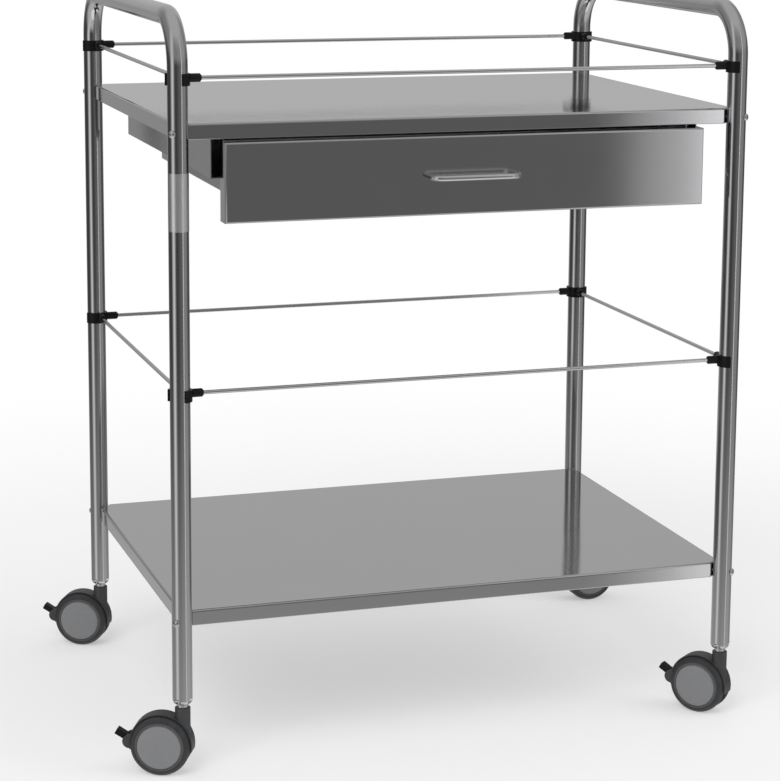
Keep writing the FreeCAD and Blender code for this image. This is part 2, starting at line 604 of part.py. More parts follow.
CASE_OUTSIDE = f"({SHELF_HALF_X} - Sheet.runner_case_inset)"
CASE_INSIDE = f"({CASE_OUTSIDE} - Sheet.runner_case_width)"
CASE_FRONT = f"({SHELF_HALF_Y} - Sheet.runner_case_setback)"
CASE_BACK = f"({SHELF_HALF_Y} - Sheet.runner_case_back_gap)"
CASE_TOP = "(Sheet.top_shelf_height - Sheet.shelf_sheet)"
CASE_FOOT = f"({CASE_TOP} - Sheet.runner_case_height)"
SLIDE_FOOT = f"({CASE_FOOT} + Sheet.slide_lift)"


def runners():
    """Case under the top shelf on each side, with a three-part telescopic slide beside it."""
    sheet_size = "Sheet.slide_sheet"
    play = "Sheet.slide_play"
    for side, sign in (("left", -1), ("right", 1)):
        body = doc.addObject("PartDesign::Body", side + "_runner_case")
        section = sketch_on(body, "XZ_Plane", side + "_case_outline",
                            out=f"-{CASE_BACK}")
        outer = f"({sign} * {CASE_OUTSIDE})"
        inner = f"({sign} * {CASE_INSIDE})"
        wall = f"({sign} * Sheet.runner_sheet)"
        outline(section, ((outer, CASE_FOOT), (inner, CASE_FOOT), (inner, CASE_TOP),
                          (outer, CASE_TOP)))
        low = f"{CASE_FOOT} + Sheet.runner_sheet"
        high = f"{CASE_TOP} - Sheet.runner_sheet"
        outline(section, ((f"{outer} - {wall}", low), (f"{inner} + {wall}", low),
                          (f"{inner} + {wall}", high), (f"{outer} - {wall}", high)))
        pad(body, section, side + "_case_fold", f"{CASE_FRONT} + {CASE_BACK}")
        node(body, side + "_runner_case")

        opens = -sign
        slide_back = f"({CASE_FRONT} - Sheet.slide_inset - Sheet.slide_length)"
        outer_rail = doc.addObject("PartDesign::Body", side + "_outer_rail")
        channel(outer_rail, side + "_outer", "Sheet.slide_length", inner, "Sheet.slide_height",
                "Sheet.slide_width - Sheet.outer_rail_gap", sheet_size, SLIDE_FOOT, slide_back,
                opens)
        node(outer_rail, side + "_slide_outer_rail")

        step = f"({sheet_size} + {play})"
        middle_web = f"({inner} + {opens} * {step})"
        middle_rail = doc.addObject("PartDesign::Body", side + "_middle_rail")
        channel(middle_rail, side + "_middle", "Sheet.slide_length", middle_web,
                f"(Sheet.slide_height - 2 * {step})",
                f"Sheet.slide_width - {step} - Sheet.middle_rail_gap", sheet_size,
                f"({SLIDE_FOOT} + {step})", f"{slide_back} + Sheet.drawer_pull / 2", opens)
        node(middle_rail, side + "_slide_middle_rail")

        drawer_side = f"({inner} + {opens} * Sheet.slide_width)"
        inner_rail = doc.addObject("PartDesign::Body", side + "_inner_rail")
        channel(inner_rail, side + "_inner", "Sheet.slide_length", drawer_side,
                f"(Sheet.slide_height - 4 * {step})", f"Sheet.slide_width - 2 * {step} - {play}",
                sheet_size, f"({SLIDE_FOOT} + 2 * {step})",
                f"{slide_back} + Sheet.drawer_pull", sign)
        node(inner_rail, side + "_slide_inner_rail")


DRAWER_FACE = f"({SHELF_HALF_Y} + Sheet.drawer_proud + Sheet.drawer_pull)"
DRAWER_BACK_FACE = f"({DRAWER_FACE} - Sheet.drawer_front_depth)"
DRAWER_HALF = f"({CASE_INSIDE} - Sheet.slide_width)"
SHELF_UNDERSIDE = "(Sheet.top_shelf_height - Sheet.shelf_edge)"
FRONT_TOP = f"({SHELF_UNDERSIDE} - Sheet.drawer_front_gap)"
FRONT_FOOT = f"({FRONT_TOP} - Sheet.drawer_front_height)"
FRONT_MIDDLE = f"({FRONT_FOOT} + Sheet.drawer_front_height / 2)"
BOX_TOP = f"({SHELF_UNDERSIDE} - Sheet.drawer_box_gap)"
BOX_FOOT = f"({BOX_TOP} - Sheet.drawer_height)"


def drawer_front():
    """Folded pan: front skin, four returns and a flange round the open back."""
    body = doc.addObject("PartDesign::Body", "drawer_front")
    half = f"({CASE_OUTSIDE} - Sheet.drawer_front_reveal)"
    foot, top = FRONT_FOOT, FRONT_TOP
    panel = sketch_on(body, "XZ_Plane", "drawer_front_outline", out=DRAWER_BACK_FACE)
    outline(panel, ((f"-{half}", foot), (half, foot), (half, top), (f"-{half}", top)))
    pad(body, panel, "drawer_front_panel", "Sheet.drawer_front_depth")
    doc.recompute()
    block = body.Tip
    front_y = -size(DRAWER_FACE)
    chosen = [f"Edge{number}" for number, edge in enumerate(block.Shape.Edges, 1)
              if edge.BoundBox.YMax < front_y + TOUCH]
    fold = body.newObject("PartDesign::Fillet", "drawer_front_fold")
    fold.Base = (block, chosen)
    bind(fold, Radius="Sheet.drawer_front_rounding")
    doc.recompute()
    wall = "Sheet.drawer_front_sheet"
    for name, inset, start, depth in (
            ("inside", wall, f"{DRAWER_BACK_FACE} + {wall}",
             f"Sheet.drawer_front_depth - 2 * {wall}"),
            ("mouth", "Sheet.drawer_front_flange", DRAWER_BACK_FACE, f"2 * {wall}")):
        hollow = sketch_on(body, "XZ_Plane", f"drawer_front_{name}_outline", out=start)
        outline(hollow, ((f"-({half} - {inset})", f"{foot} + {inset}"),
                         (f"{half} - {inset}", f"{foot} + {inset}"),
                         (f"{half} - {inset}", f"{top} - {inset}"),
                         (f"-({half} - {inset})", f"{top} - {inset}")))
        pocket = body.newObject("PartDesign::Pocket", "drawer_front_" + name)
        pocket.Profile = hollow
        pocket.Reversed = True
        bind(pocket, Length=depth)
        doc.recompute()
    for side, sign in (("left", "-"), ("right", "")):
        hole = sketch_on(body, "XZ_Plane", f"drawer_front_{side}_hole_outline",
                         out=f"{DRAWER_FACE} - 2 * {wall}")
        circle(hole, "Sheet.pull_screw_diameter / 2 + Sheet.hole_clearance",
               f"{sign}Sheet.pull_span / 2", FRONT_MIDDLE)
        pocket = body.newObject("PartDesign::Pocket", f"drawer_front_{side}_hole")
        pocket.Profile = hole
        pocket.Reversed = True
        bind(pocket, Length=f"4 * {wall}")
        doc.recompute()
    return node(body, "drawer_front")


def drawer_box():
    """Open-topped folded tray with a rounded foot and a bead along its back edge."""
    half = DRAWER_HALF
    front = DRAWER_BACK_FACE
    back = f"({front} - Sheet.drawer_length)"
    wall = "Sheet.drawer_sheet"
    outer = box("drawer_outer", f"2 * {half}", "Sheet.drawer_length", "Sheet.drawer_height",
                f"-{half}", f"-{front}", BOX_FOOT)
    foot_z = size(BOX_FOOT)
    rounded = round_edges("drawer_folds", outer, "Sheet.drawer_rounding",
                          lambda edge: edge.BoundBox.ZMax < foot_z + TOUCH
                          and edge.BoundBox.YLength > TOUCH)
    inner = box("drawer_inner", f"2 * ({half} - {wall})", f"Sheet.drawer_length - 2 * {wall}",
                "Sheet.drawer_height", f"-({half} - {wall})", f"-({front} - {wall})",
                f"{BOX_FOOT} + {wall}")
    inner_foot = size(f"{BOX_FOOT} + {wall}")
    hollow = round_edges("drawer_hollow", inner, f"Sheet.drawer_rounding - {wall}",
                         lambda edge: edge.BoundBox.ZMax < inner_foot + TOUCH
                         and edge.BoundBox.YLength > TOUCH)
    bead = box("drawer_bead", f"2 * {half}", "Sheet.drawer_rim", wall, f"-{half}", f"-{back}",
               f"{BOX_TOP} - {wall}")
    return node(fuse("drawer_box", [cut("drawer_tray", rounded, hollow), bead]), "drawer_box")


def drawer_handle():
    """Bent wire handle and the two screws that hold it from behind."""
    body = doc.addObject("PartDesign::Body", "drawer_handle")
    path = bent_path(sketch_on(body, "XY_Plane", "handle_path"), "Sheet.pull_span / 2",
                     "Sheet.pull_reach", "Sheet.pull_bend", "0")
    section = sketch_on(body, "XZ_Plane", "handle_section")
    circle(section, "Sheet.pull_diameter / 2", "-Sheet.pull_span / 2")
    doc.recompute()
    wire = body.newObject("PartDesign::AdditivePipe", "handle_wire")
    wire.Profile = section
    wire.Spine = (path, ["Edge1", "Edge4", "Edge2", "Edge5", "Edge3"])
    doc.recompute()
    for side, sign in (("left", "-"), ("right", "")):
        bore = sketch_on(body, "XZ_Plane", f"handle_{side}_bore_outline")
        circle(bore, "Sheet.pull_screw_diameter / 2 + Sheet.running_fit",
               f"{sign}Sheet.pull_span / 2")
        pocket = body.newObject("PartDesign::Pocket", f"handle_{side}_bore")
        pocket.Profile = bore
        bind(pocket, Length="Sheet.pull_screw_bite + Sheet.cut_margin")
        doc.recompute()
    body.Placement = Placement(Vector(), Rotation(Vector(0, 0, 1), 180))
    bind(body, Placement__Base__y=f"-{DRAWER_FACE}", Placement__Base__z=FRONT_MIDDLE)
    node(body, "drawer_handle")

    screws = []
    wall = "Sheet.drawer_front_sheet"
    for side, sign in (("left", "-"), ("right", "")):
        x = f"{sign}Sheet.pull_span / 2"
        seat = f"-({DRAWER_FACE} - {wall})"
        head = cylinder(f"handle_{side}_screw_head", "Sheet.pull_screw_head / 2",
                        "Sheet.pull_screw_head_height", x, seat, FRONT_MIDDLE, ALONG_BACK)
        shank = cylinder(f"handle_{side}_screw_shank", "Sheet.pull_screw_diameter / 2",
                         f"Sheet.pull_screw_bite + {wall}", x, seat, FRONT_MIDDLE,
                         TILT_Y_TO_Z)
        screws.append(fuse(f"handle_{side}_screw", [head, shank]))
    node(group("handle_screws", screws), "drawer_handle_screws")


PEDAL_X = f"(Sheet.castor_trail + {HOOD_RADIUS} * cos(Sheet.pedal_turn))"
PEDAL_Z = f"({AXLE_HEIGHT} + {HOOD_RADIUS} * sin(Sheet.pedal_turn))"


def castor_hood(name):
    """Narrow hood between twin wheels: swivel boss, middle web and a lug for the brake pedal."""
    trail = "Sheet.castor_trail"
    width = "Sheet.hood_width"
    drum = cylinder(name + "_drum", HOOD_RADIUS, width, trail, f"{width} / 2", AXLE_HEIGHT,
                    TILT_Y_TO_Z)
    rim = f"({BOSS_TOP} - Sheet.boss_bevel)"
    boss = cylinder(name + "_boss", "Sheet.boss_diameter / 2", f"{rim} - {AXLE_HEIGHT}",
                    z=AXLE_HEIGHT)
    crown = doc.addObject("Part::Cone", name + "_crown")
    bind(crown, Radius1="Sheet.boss_diameter / 2",
         Radius2="Sheet.boss_diameter / 2 - Sheet.boss_bevel", Height="Sheet.boss_bevel")
    place(crown, z=rim)
    lug = cylinder(name + "_lug", "Sheet.lug_radius", width, PEDAL_X, f"{width} / 2", PEDAL_Z,
                   TILT_Y_TO_Z)
    wells = []
    for side, sign in (("near", 1), ("far", -1)):
        inner = "Sheet.castor_web / 2"
        y = f"{inner} + {width}" if sign > 0 else f"-{inner}"
        wells.append(cylinder(f"{name}_{side}_well", WELL_RADIUS, width, trail, y, AXLE_HEIGHT,
                              TILT_Y_TO_Z))
    slab = box(name + "_below", f"4 * {HOOD_RADIUS}", f"{width} * 2", f"2 * {HOOD_RADIUS}",
               f"-2 * {HOOD_RADIUS}", f"-{width}",
               f"{AXLE_HEIGHT} - Sheet.hood_drop - 2 * {HOOD_RADIUS}")
    keep = cylinder(name + "_web_keep", "Sheet.web_radius", f"{width} * 2", trail, width,
                    AXLE_HEIGHT, TILT_Y_TO_Z)
    pin_bore = cylinder(name + "_pin_bore", PIN_HOLE, "Sheet.boss_depth * 2",
                        z=f"{BOSS_TOP} - Sheet.boss_depth")
    axle_bore = cylinder(name + "_axle_bore", "Sheet.axle_diameter / 2", width, trail,
                         f"{width} / 2", AXLE_HEIGHT, TILT_Y_TO_Z)
    reach = "(Sheet.pedal_hub_radius + Sheet.pedal_play)"
    slot = box(name + "_pedal_slot", "Sheet.lug_radius * 3",
               "Sheet.pedal_width + 2 * Sheet.pedal_play", "Sheet.lug_radius * 3",
               f"{PEDAL_X} - {reach}", "-(Sheet.pedal_width / 2 + Sheet.pedal_play)",
               f"{PEDAL_Z} - {reach}")
    pivot = cylinder(name + "_pivot", "Sheet.pedal_pin_diameter / 2",
                     f"{width} - 2 * Sheet.pedal_pin_inset", PEDAL_X,
                     f"{width} / 2 - Sheet.pedal_pin_inset", PEDAL_Z, TILT_Y_TO_Z)
    carved = cut_all(name + "_carved", fuse(name + "_solid", [drum, boss, crown, lug]),
                     wells + [cut(name + "_opening", slab, keep), pin_bore, axle_bore, slot])
    return fuse(name, [carved, pivot])


def wheel_profile(name, points, side):
    """Ring turned about the axle, from (radius, distance from the web) corners."""
    body = doc.addObject("PartDesign::Body", name)
    profile = outline(sketch_on(body, "XY_Plane", name + "_outline"),
                      [(radius, f"{side} * ({out})") for radius, out in points])
    revolve(body, profile, name + "_turned")
    return body


def castor(corner, x_side, y_side, turn):
    """Swivel pin, hood, axle, brake pedal and two wheels, trailing along local +X."""
    name = corner + "_castor"
    spin = Rotation(Vector(0, 0, 1), turn)
    here = (f"{x_side} * {LEG_X}", f"{y_side} * {LEG_Y}", "0", spin)
    node(place(castor_hood(name + "_hood"), *here), name + "_hood")

    axle = cylinder(name + "_axle_rod", "Sheet.axle_diameter / 2", "Sheet.axle_length",
                    "Sheet.castor_trail", "Sheet.axle_length / 2", AXLE_HEIGHT, TILT_Y_TO_Z)
    node(place(group(name + "_axle_placed", [axle]), *here), name + "_axle")

    barrel = cylinder(name + "_pedal_barrel", "Sheet.pedal_hub_radius", "Sheet.pedal_width",
                      "0", "Sheet.pedal_width / 2", "0", TILT_Y_TO_Z)
    plate = box(name + "_pedal_plate", "Sheet.pedal_length", "Sheet.pedal_width",
                "Sheet.pedal_thickness", "0", "-Sheet.pedal_width / 2",
                "Sheet.pedal_hub_radius - Sheet.pedal_thickness")
    lip = box(name + "_pedal_lip", "Sheet.pedal_thickness", "Sheet.pedal_width",
              "Sheet.pedal_lip", "Sheet.pedal_length - Sheet.pedal_thickness",
              "-Sheet.pedal_width / 2", "Sheet.pedal_hub_radius - Sheet.pedal_lip")
    eye = cylinder(name + "_pedal_eye", "Sheet.pedal_pin_diameter / 2 + Sheet.running_fit",
                   "Sheet.pedal_width * 2", "0", "Sheet.pedal_width", "0", TILT_Y_TO_Z)
    lever = cut(name + "_pedal_lever", fuse(name + "_pedal_solid", [barrel, plate, lip]), eye)
    lever.Placement = Placement(Vector(), Rotation(Vector(0, 1, 0), 0))
    bind(lever, Placement__Base__x=PEDAL_X, Placement__Base__z=PEDAL_Z,
         Placement__Rotation__Angle="-Sheet.pedal_rise")
    node(place(group(name + "_pedal_placed", [lever]), *here), name + "_brake_pedal")

    web = "Sheet.castor_web / 2 + Sheet.wheel_play"
    face = f"{web} + Sheet.wheel_width"
    bore = "Sheet.axle_diameter / 2 + Sheet.running_fit"
    rim = "Sheet.hub_diameter / 2"
    disc = "Sheet.disc_diameter / 2"
    tread = "Sheet.wheel_diameter / 2"
    shoulder = "Sheet.wheel_shoulder"
    blind = "Sheet.axle_length / 2 + Sheet.wheel_play"
    hub_points = ((bore, web), (rim, web), (rim, face), (disc, face),
                  (disc, f"{face} + Sheet.disc_rise - Sheet.disc_bevel"),
                  (f"{disc} - Sheet.disc_bevel", f"{face} + Sheet.disc_rise"),
                  ("0", f"{face} + Sheet.disc_rise + Sheet.disc_dome"),
                  ("0", blind), (bore, blind))
    bevel = "Sheet.tyre_inner_bevel"
    tyre_points = ((rim, web), (f"{tread} - {bevel}", web), (tread, f"{web} + {bevel}"),
                   (tread, f"{face} - {shoulder}"),
                   (f"{tread} - Sheet.shoulder_sag", f"{face} - Sheet.shoulder_sag"),
                   (f"{tread} - {shoulder}", face), (rim, face))
    for side_name, side in (("near", 1), ("far", -1)):
        for kind, points in (("wheel", hub_points), ("tyre", tyre_points)):
            label = f"{name}_{side_name}_{kind}"
            ring = wheel_profile(label + "_ring", points, side)
            place(ring, "Sheet.castor_trail", "0", AXLE_HEIGHT)
            node(place(group(label + "_placed", [ring]), *here), label)


def swivel_pins():
    """Pins gripped in the closed-in leg ends, each with a bright collar above the castor boss."""
    pins = []
    for corner, x_side, y_side, _turn in CASTORS:
        foot = f"{BOSS_TOP} - Sheet.boss_depth + Sheet.collar_play"
        x, y = f"{x_side} * {LEG_X}", f"{y_side} * {LEG_Y}"
        pin = cylinder(f"{corner}_pin_shank", "Sheet.pin_diameter / 2",
                       f"{LEG_TIP} + Sheet.pin_grip - ({foot})", x, y, foot)
        collar = cylinder(f"{corner}_pin_collar", "Sheet.pin_collar_diameter / 2",
                          "Sheet.collar_height", x, y, f"{BOSS_TOP} + Sheet.collar_play")
        pins.append(fuse(f"{corner}_pin", [pin, collar]))
    node(group("castor_pins", pins), "castor_swivel_pins")


def check(items):
    """Stop if any object failed or any sub-part's shape is missing or broken."""
    faults = [item.Label for item in doc.Objects if {"Invalid", "Error"} & set(item.State)]
    faults += [item.Label for item in items if item.Shape.isNull() or not item.Shape.isValid()]
    if faults:
        raise RuntimeError("failed: " + ", ".join(faults))


end_frame("left_end_frame", "-", 0)
end_frame("right_end_frame", "", 180)
shelf("top_shelf", "Sheet.top_shelf_height")
shelf("bottom_shelf", "Sheet.bottom_shelf_height")
corner_fasteners()
galleries()
leg_label()
runners()
drawer_front()
drawer_box()
drawer_handle()
for corner in CASTORS:
    castor(*corner)
swivel_pins()
doc.recompute()
check(nodes)
os.makedirs("parts", exist_ok=True)
for item in nodes:
    item.Shape.exportStep(f"parts/{item.Label}.step")
print(len(nodes), "sub-parts written")
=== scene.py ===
"""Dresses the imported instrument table: bent steel tube ends, folded shelves, rod galleries on
snap-on clips, a drawer on slides, twin-wheel castors, their finishes and a small studio."""

from math import atan2, cos, hypot, pi, radians, sin, sqrt

import bmesh
import bpy
from bpy.props import FloatProperty, FloatVectorProperty, PointerProperty
from bpy.types import Operator
from mathutils import Matrix, Vector


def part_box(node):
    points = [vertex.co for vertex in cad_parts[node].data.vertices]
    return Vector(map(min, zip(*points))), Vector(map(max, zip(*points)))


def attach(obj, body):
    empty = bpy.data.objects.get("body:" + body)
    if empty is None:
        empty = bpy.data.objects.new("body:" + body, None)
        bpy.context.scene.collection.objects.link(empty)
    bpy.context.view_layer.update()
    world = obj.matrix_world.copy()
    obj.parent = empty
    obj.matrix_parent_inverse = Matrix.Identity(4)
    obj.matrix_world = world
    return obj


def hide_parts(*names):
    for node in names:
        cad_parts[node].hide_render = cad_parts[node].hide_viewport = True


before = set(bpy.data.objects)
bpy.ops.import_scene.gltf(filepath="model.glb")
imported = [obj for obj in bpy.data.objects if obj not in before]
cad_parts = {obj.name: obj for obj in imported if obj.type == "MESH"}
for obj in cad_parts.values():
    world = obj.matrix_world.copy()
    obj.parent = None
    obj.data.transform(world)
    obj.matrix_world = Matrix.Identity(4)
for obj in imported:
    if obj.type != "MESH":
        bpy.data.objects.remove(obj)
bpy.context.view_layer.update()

bl_info = {
    "name": "Instrument Table",
    "version": (1, 0, 0),
    "blender": (4, 5, 0),
    "location": "3D View > Sidebar > Instrument Table",
    "description": "Builds the visible pieces and finishes of a wheeled steel instrument table",
    "category": "Object",
}

FRAME_LOW, FRAME_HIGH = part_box("left_end_frame")
TUBE_RADIUS = (FRAME_HIGH.x - FRAME_LOW.x) / 2
LEG_X = -(FRAME_HIGH.x + FRAME_LOW.x) / 2
LEG_Y = FRAME_HIGH.y - TUBE_RADIUS
HANDLE_Z = FRAME_HIGH.z - TUBE_RADIUS
LEG_TIP = FRAME_LOW.z
CORNERS = ("front_left", "back_left", "front_right", "back_right")
SHARP = radians(32)
QUARTER = radians(90)
ROUND = 96  # sides of a leg or a wheel
LEG_END_RISE = 1.43  # length of the separate leg end, in heights of its closing curve
NOSE_TURN = 85  # degrees through which the leg end closes in
WHEEL_GAP = 0.0055  # middle of a castor to its wheels' inner faces
WHEEL_FACE = WHEEL_GAP + 0.0118
WHEEL_BORE = 0.0031
DISC_EDGE, DISC_SHARE = 0.0007, 0.955  # rounding of a cover disc, and the share its dome takes
DISC_LEVEL, DISC_MARGIN = 0.008, 0.0006  # what counts as cover disc when it gets its colour
TYRE_INNER_EDGE = 0.0014
MOULD_LINE = (0.0008, 0.0003, 0.00015)  # off the tread's middle, half width, depth
PEDAL_EDGE_SHARE = 0.6  # the pedal's edge rounding against the hood's
DRAWER_SHEET = 0.0012
DRAWER_EDGE = 0.00025
PEDAL_HUB = 0.005  # pivot of a brake pedal to its plate
PEDAL_PIVOT = radians(4)  # how far round the hood the pivot sits
SCREW_SHANK = 0.0025
SCREW_KEY = 0.0017
SCREW_KEY_DEPTH = 0.0018
SCREW_PAST_TUBE = 0.0068


# Sizes and colours ------------

def length(name, description, default):
    return FloatProperty(name=name, description=description, default=default, min=0.0,
                         precision=5, subtype="DISTANCE", unit="LENGTH")


def share(name, description, default):
    return FloatProperty(name=name, description=description, default=default, min=0.0,
                         max=1.0, subtype="FACTOR")


def colour(name, description, red, green, blue):
    return FloatVectorProperty(name=name, description=description, size=4, min=0.0, max=1.0,
                               default=(red, green, blue, 1.0), subtype="COLOR")


class InstrumentTableSizes(bpy.types.PropertyGroup):
    """Sizes of the table's visible pieces, in metres."""

    bend_radius: length("Handle bend", "Centre line of the push handle bends", 0.060)
    nose_height: length("Leg end", "Height over which the leg closes in", 0.0063)
    nose_radius: length("Leg tip", "Radius of the leg's tip", 0.0075)
    nose_bore: length("Leg tip bore", "Radius of the hole in the leg's tip", 0.0051)
    dimple_radius: length("Notch", "Radius of the four pressed notches", 0.0042)
    dimple_rise: length("Notch height", "Leg tip to the middle of a notch", 0.0036)
    rod_radius: length("Rod", "Radius of the gallery rods", 0.0025)
    rod_inset: length("Rod inset", "Leg centre line to rod centre line", 0.0034)
    rod_end: length("Rod end", "Leg centre line to the end of a rod", 0.01575)
    clip_edge: length("Clip edge", "Rounding of the clips' edges", 0.00035)
    screw_radius: length("Screw head", "Radius of the corner screw heads", 0.0045)
    screw_height: length("Screw height", "Height of the corner screw heads", 0.0032)
    shelf_sheet: length("Shelf sheet", "Sheet thickness of the shelves", 0.0012)
    shelf_fold: length("Shelf fold", "Outside radius of the shelf folds", 0.0031)
    shelf_lip: length("Shelf lip", "Inward lip at the foot of the shelf edge", 0.012)
    front_fold: length("Drawer front fold", "Outside radius of the drawer front's folds", 0.0024)
    front_flange: length("Drawer front flange", "Inward flange behind the front", 0.014)
    pull_span: length("Handle span", "Between the feet of the drawer handle", 0.112)
    pull_bend: length("Handle bend", "Centre line of the drawer handle's bends", 0.013)
    pull_radius: length("Handle wire", "Radius of the drawer handle's wire", 0.0035)
    tread_radius: length("Wheel", "Radius of a castor wheel over its tyre", 0.0375)
    rim_radius: length("Wheel rim", "Radius of a castor wheel inside its tyre", 0.03125)
    disc_radius: length("Cover disc", "Radius of the cover disc", 0.0273)
    disc_rise: length("Disc rise", "How far the cover disc stands out", 0.0016)
    disc_dome: length("Disc dome", "Swell of the cover disc", 0.0010)
    shoulder: length("Tyre shoulder", "Rounding of a tyre's outer edge", 0.0058)
    plastic_edge: length("Moulded edge", "Rounding of the castor hood's edges", 0.0008)
    hood_radius: length("Hood", "Radius of the castor hood", 0.040)
    pedal_reach: length("Pedal", "Brake pedal's pivot to its tip", 0.021)
    pedal_drop: length("Pedal rib", "Foot of the pedal's side ribs below its pivot", 0.003)
    pedal_rib: length("Pedal rib thickness", "Thickness of the pedal's side ribs", 0.0022)
    pedal_width: length("Pedal width", "Width of the brake pedal", 0.010)
    pedal_slope: share("Pedal slope", "Slope of the pedal in quarter turns", 1 / 3)


class InstrumentTableColours(bpy.types.PropertyGroup):
    """Colours of the table's finishes."""

    tube: colour("Frame tube", "Polished tube of the end frames", 0.62, 0.62, 0.63)
    shelf: colour("Shelf steel", "Brushed sheet of the shelves", 0.56, 0.56, 0.57)
    drawer: colour("Drawer steel", "Brushed sheet of the drawer", 0.55, 0.55, 0.56)
    rod: colour("Rods", "Polished gallery rods and handle wire", 0.66, 0.66, 0.67)
    slide: colour("Slides", "Zinc plated slides and fasteners", 0.48, 0.49, 0.50)
    clip: colour("Clips", "Black plastic of the gallery clips", 0.006, 0.006, 0.0065)
    hood: colour("Castor hood", "Dark grey plastic of the castors", 0.040, 0.041, 0.043)
    rim: colour("Wheel rim", "Grey plastic ring between disc and tyre", 0.078, 0.079, 0.082)
    disc: colour("Cover disc", "Grey plastic of the wheels' cover discs", 0.225, 0.227, 0.232)
    tyre: colour("Tyre", "Grey-black rubber of the tyres", 0.030, 0.030, 0.032)
    pedal: colour("Brake pedal", "Black plastic of the brake pedals", 0.007, 0.007, 0.0075)
    label: colour("Label", "Blank translucent label", 0.80, 0.80, 0.81)
    floor: colour("Floor", "Pale studio floor", 0.94, 0.94, 0.94)


# Node graphs ------------

def arithmetic(operation, swapped=False):
    """Method that adds a Math node to a wire."""
    def method(self, other):
        return self.graph.maths(operation, *((other, self) if swapped else (self, other)))
    return method


class Wire:
    """One output socket; arithmetic on it adds Math nodes."""

    def __init__(self, graph, socket):
        self.graph, self.socket = graph, socket

    def other(self, key):
        """Another output of the same node."""
        return Wire(self.graph, self.socket.node.outputs[key])

    __add__, __radd__ = arithmetic("ADD"), arithmetic("ADD", True)
    __sub__, __rsub__ = arithmetic("SUBTRACT"), arithmetic("SUBTRACT", True)
    __mul__, __pow__ = arithmetic("MULTIPLY"), arithmetic("POWER")


class Graph:
    """A node tree that is filled node by node."""

    def __init__(self, tree):
        self.tree = tree
        tree.nodes.clear()

    def add(self, kind, inputs=None, output=0, **settings):
        """New node with its settings and its sockets by name or number; gives one output."""
        node = self.tree.nodes.new(kind)
        for name, value in settings.items():
            setattr(node, name, value)
        for key, value in (inputs or {}).items():
            if isinstance(value, Wire):
                self.tree.links.new(value.socket, node.inputs[key])
            else:
                node.inputs[key].default_value = value
        return Wire(self, node.outputs[output]) if len(node.outputs) else node

    def maths(self, operation, first, second=0.0):
        return self.add("ShaderNodeMath", {0: first, 1: second}, operation=operation)

    def vector(self, x=0.0, y=0.0, z=0.0):
        return self.add("ShaderNodeCombineXYZ", {0: x, 1: y, 2: z})

    def span(self, value, low, high, end=1.0, kind="LINEAR"):
        """Value from low to high, brought to the range from 0 to end."""
        return self.add("ShaderNodeMapRange", {0: value, 1: low, 2: high, 4: end},
                        interpolation_type=kind)

    def coordinates(self):
        return self.add("ShaderNodeTexCoord", output="Object")

    def ramp(self, factor, stops):
        """Colour ramp from (position, grey) stops."""
        node = self.tree.nodes.new("ShaderNodeValToRGB")
        elements = node.color_ramp.elements
        while len(elements) < len(stops):
            elements.new(0.5)
        for element, (position, level) in zip(elements, stops):
            element.position, element.color = position, grey(level)
        self.tree.links.new(factor.socket, node.inputs[0])
        return Wire(self, node.outputs[0])

    def blend(self, factor, first, second):
        """Colour between two colours."""
        return self.add("ShaderNodeMix", {0: factor, 6: first, 7: second}, 2,
                        data_type="RGBA")


def grey(level):
    return (level, level, level, 1.0)


def shaded(tint, amount):
    """A colour made darker or lighter by a plain factor."""
    return tuple(min(1.0, channel * amount) for channel in tint[:3]) + (1.0,)


def noise(graph, place, scale, detail=3.0, stretch=(1.0, 1.0, 1.0)):
    """Noise from 0 to 1 on object coordinates, drawn out along an axis by stretch."""
    spot = graph.add("ShaderNodeMapping", {"Vector": place, "Scale": stretch})
    return graph.add("ShaderNodeTexNoise",
                     {"Vector": spot, "Scale": scale, "Detail": detail, "Roughness": 0.6})


def bare_material(name):
    """Material with an empty node tree."""
    material = bpy.data.materials.new(name)
    material.use_nodes = True
    return material, Graph(material.node_tree)


def new_material(name, **plain):
    """Material with one Principled shader; plain values go on its own sockets."""
    material, graph = bare_material(name)
    shader = graph.add("ShaderNodeBsdfPrincipled")
    for socket, value in plain.items():
        shader.socket.node.inputs[socket.replace("_", " ")].default_value = value
    graph.add("ShaderNodeOutputMaterial", {"Surface": shader})
    return material, graph, shader.socket.node, graph.coordinates()


def feed(graph, shader, **sockets):
    for socket, wire in sockets.items():
        graph.tree.links.new(wire.socket, shader.inputs[socket.replace("_", " ")])


def bump(graph, height, strength, distance):
    return graph.add("ShaderNodeBump",
                     {"Strength": strength, "Distance": distance, "Height": height})


def brushed_steel(name, tint, roughness, stretch, lines=0.10, waves=0.05, grooves=0.003,
                  smear=0.0):
    """Stainless steel with fine lines along one axis, cloudy wear and a slow waviness."""
    material, graph, shader, place = new_material(name, Metallic=1.0, Anisotropic=smear,
                                                  Anisotropic_Rotation=0.25)
    fine = noise(graph, place, 1.0, 4.0, stretch)
    cloud = noise(graph, place, 7.0, 4.0)
    wipe = noise(graph, place, 26.0, 2.0, (1.0, 1.0, 0.5))
    slow = noise(graph, place, 3.2, 1.0)
    mixed = graph.blend(fine * 0.6 + cloud * 0.4, shaded(tint, 0.93), shaded(tint, 1.06))
    dulled = roughness + (fine - 0.5) * lines + (cloud - 0.5) * 0.05 + (wipe - 0.5) * 0.03
    relief = bump(graph, fine * grooves + slow * waves, 0.3, 0.004)
    feed(graph, shader, Base_Color=mixed, Roughness=dulled, Normal=relief)
    return material


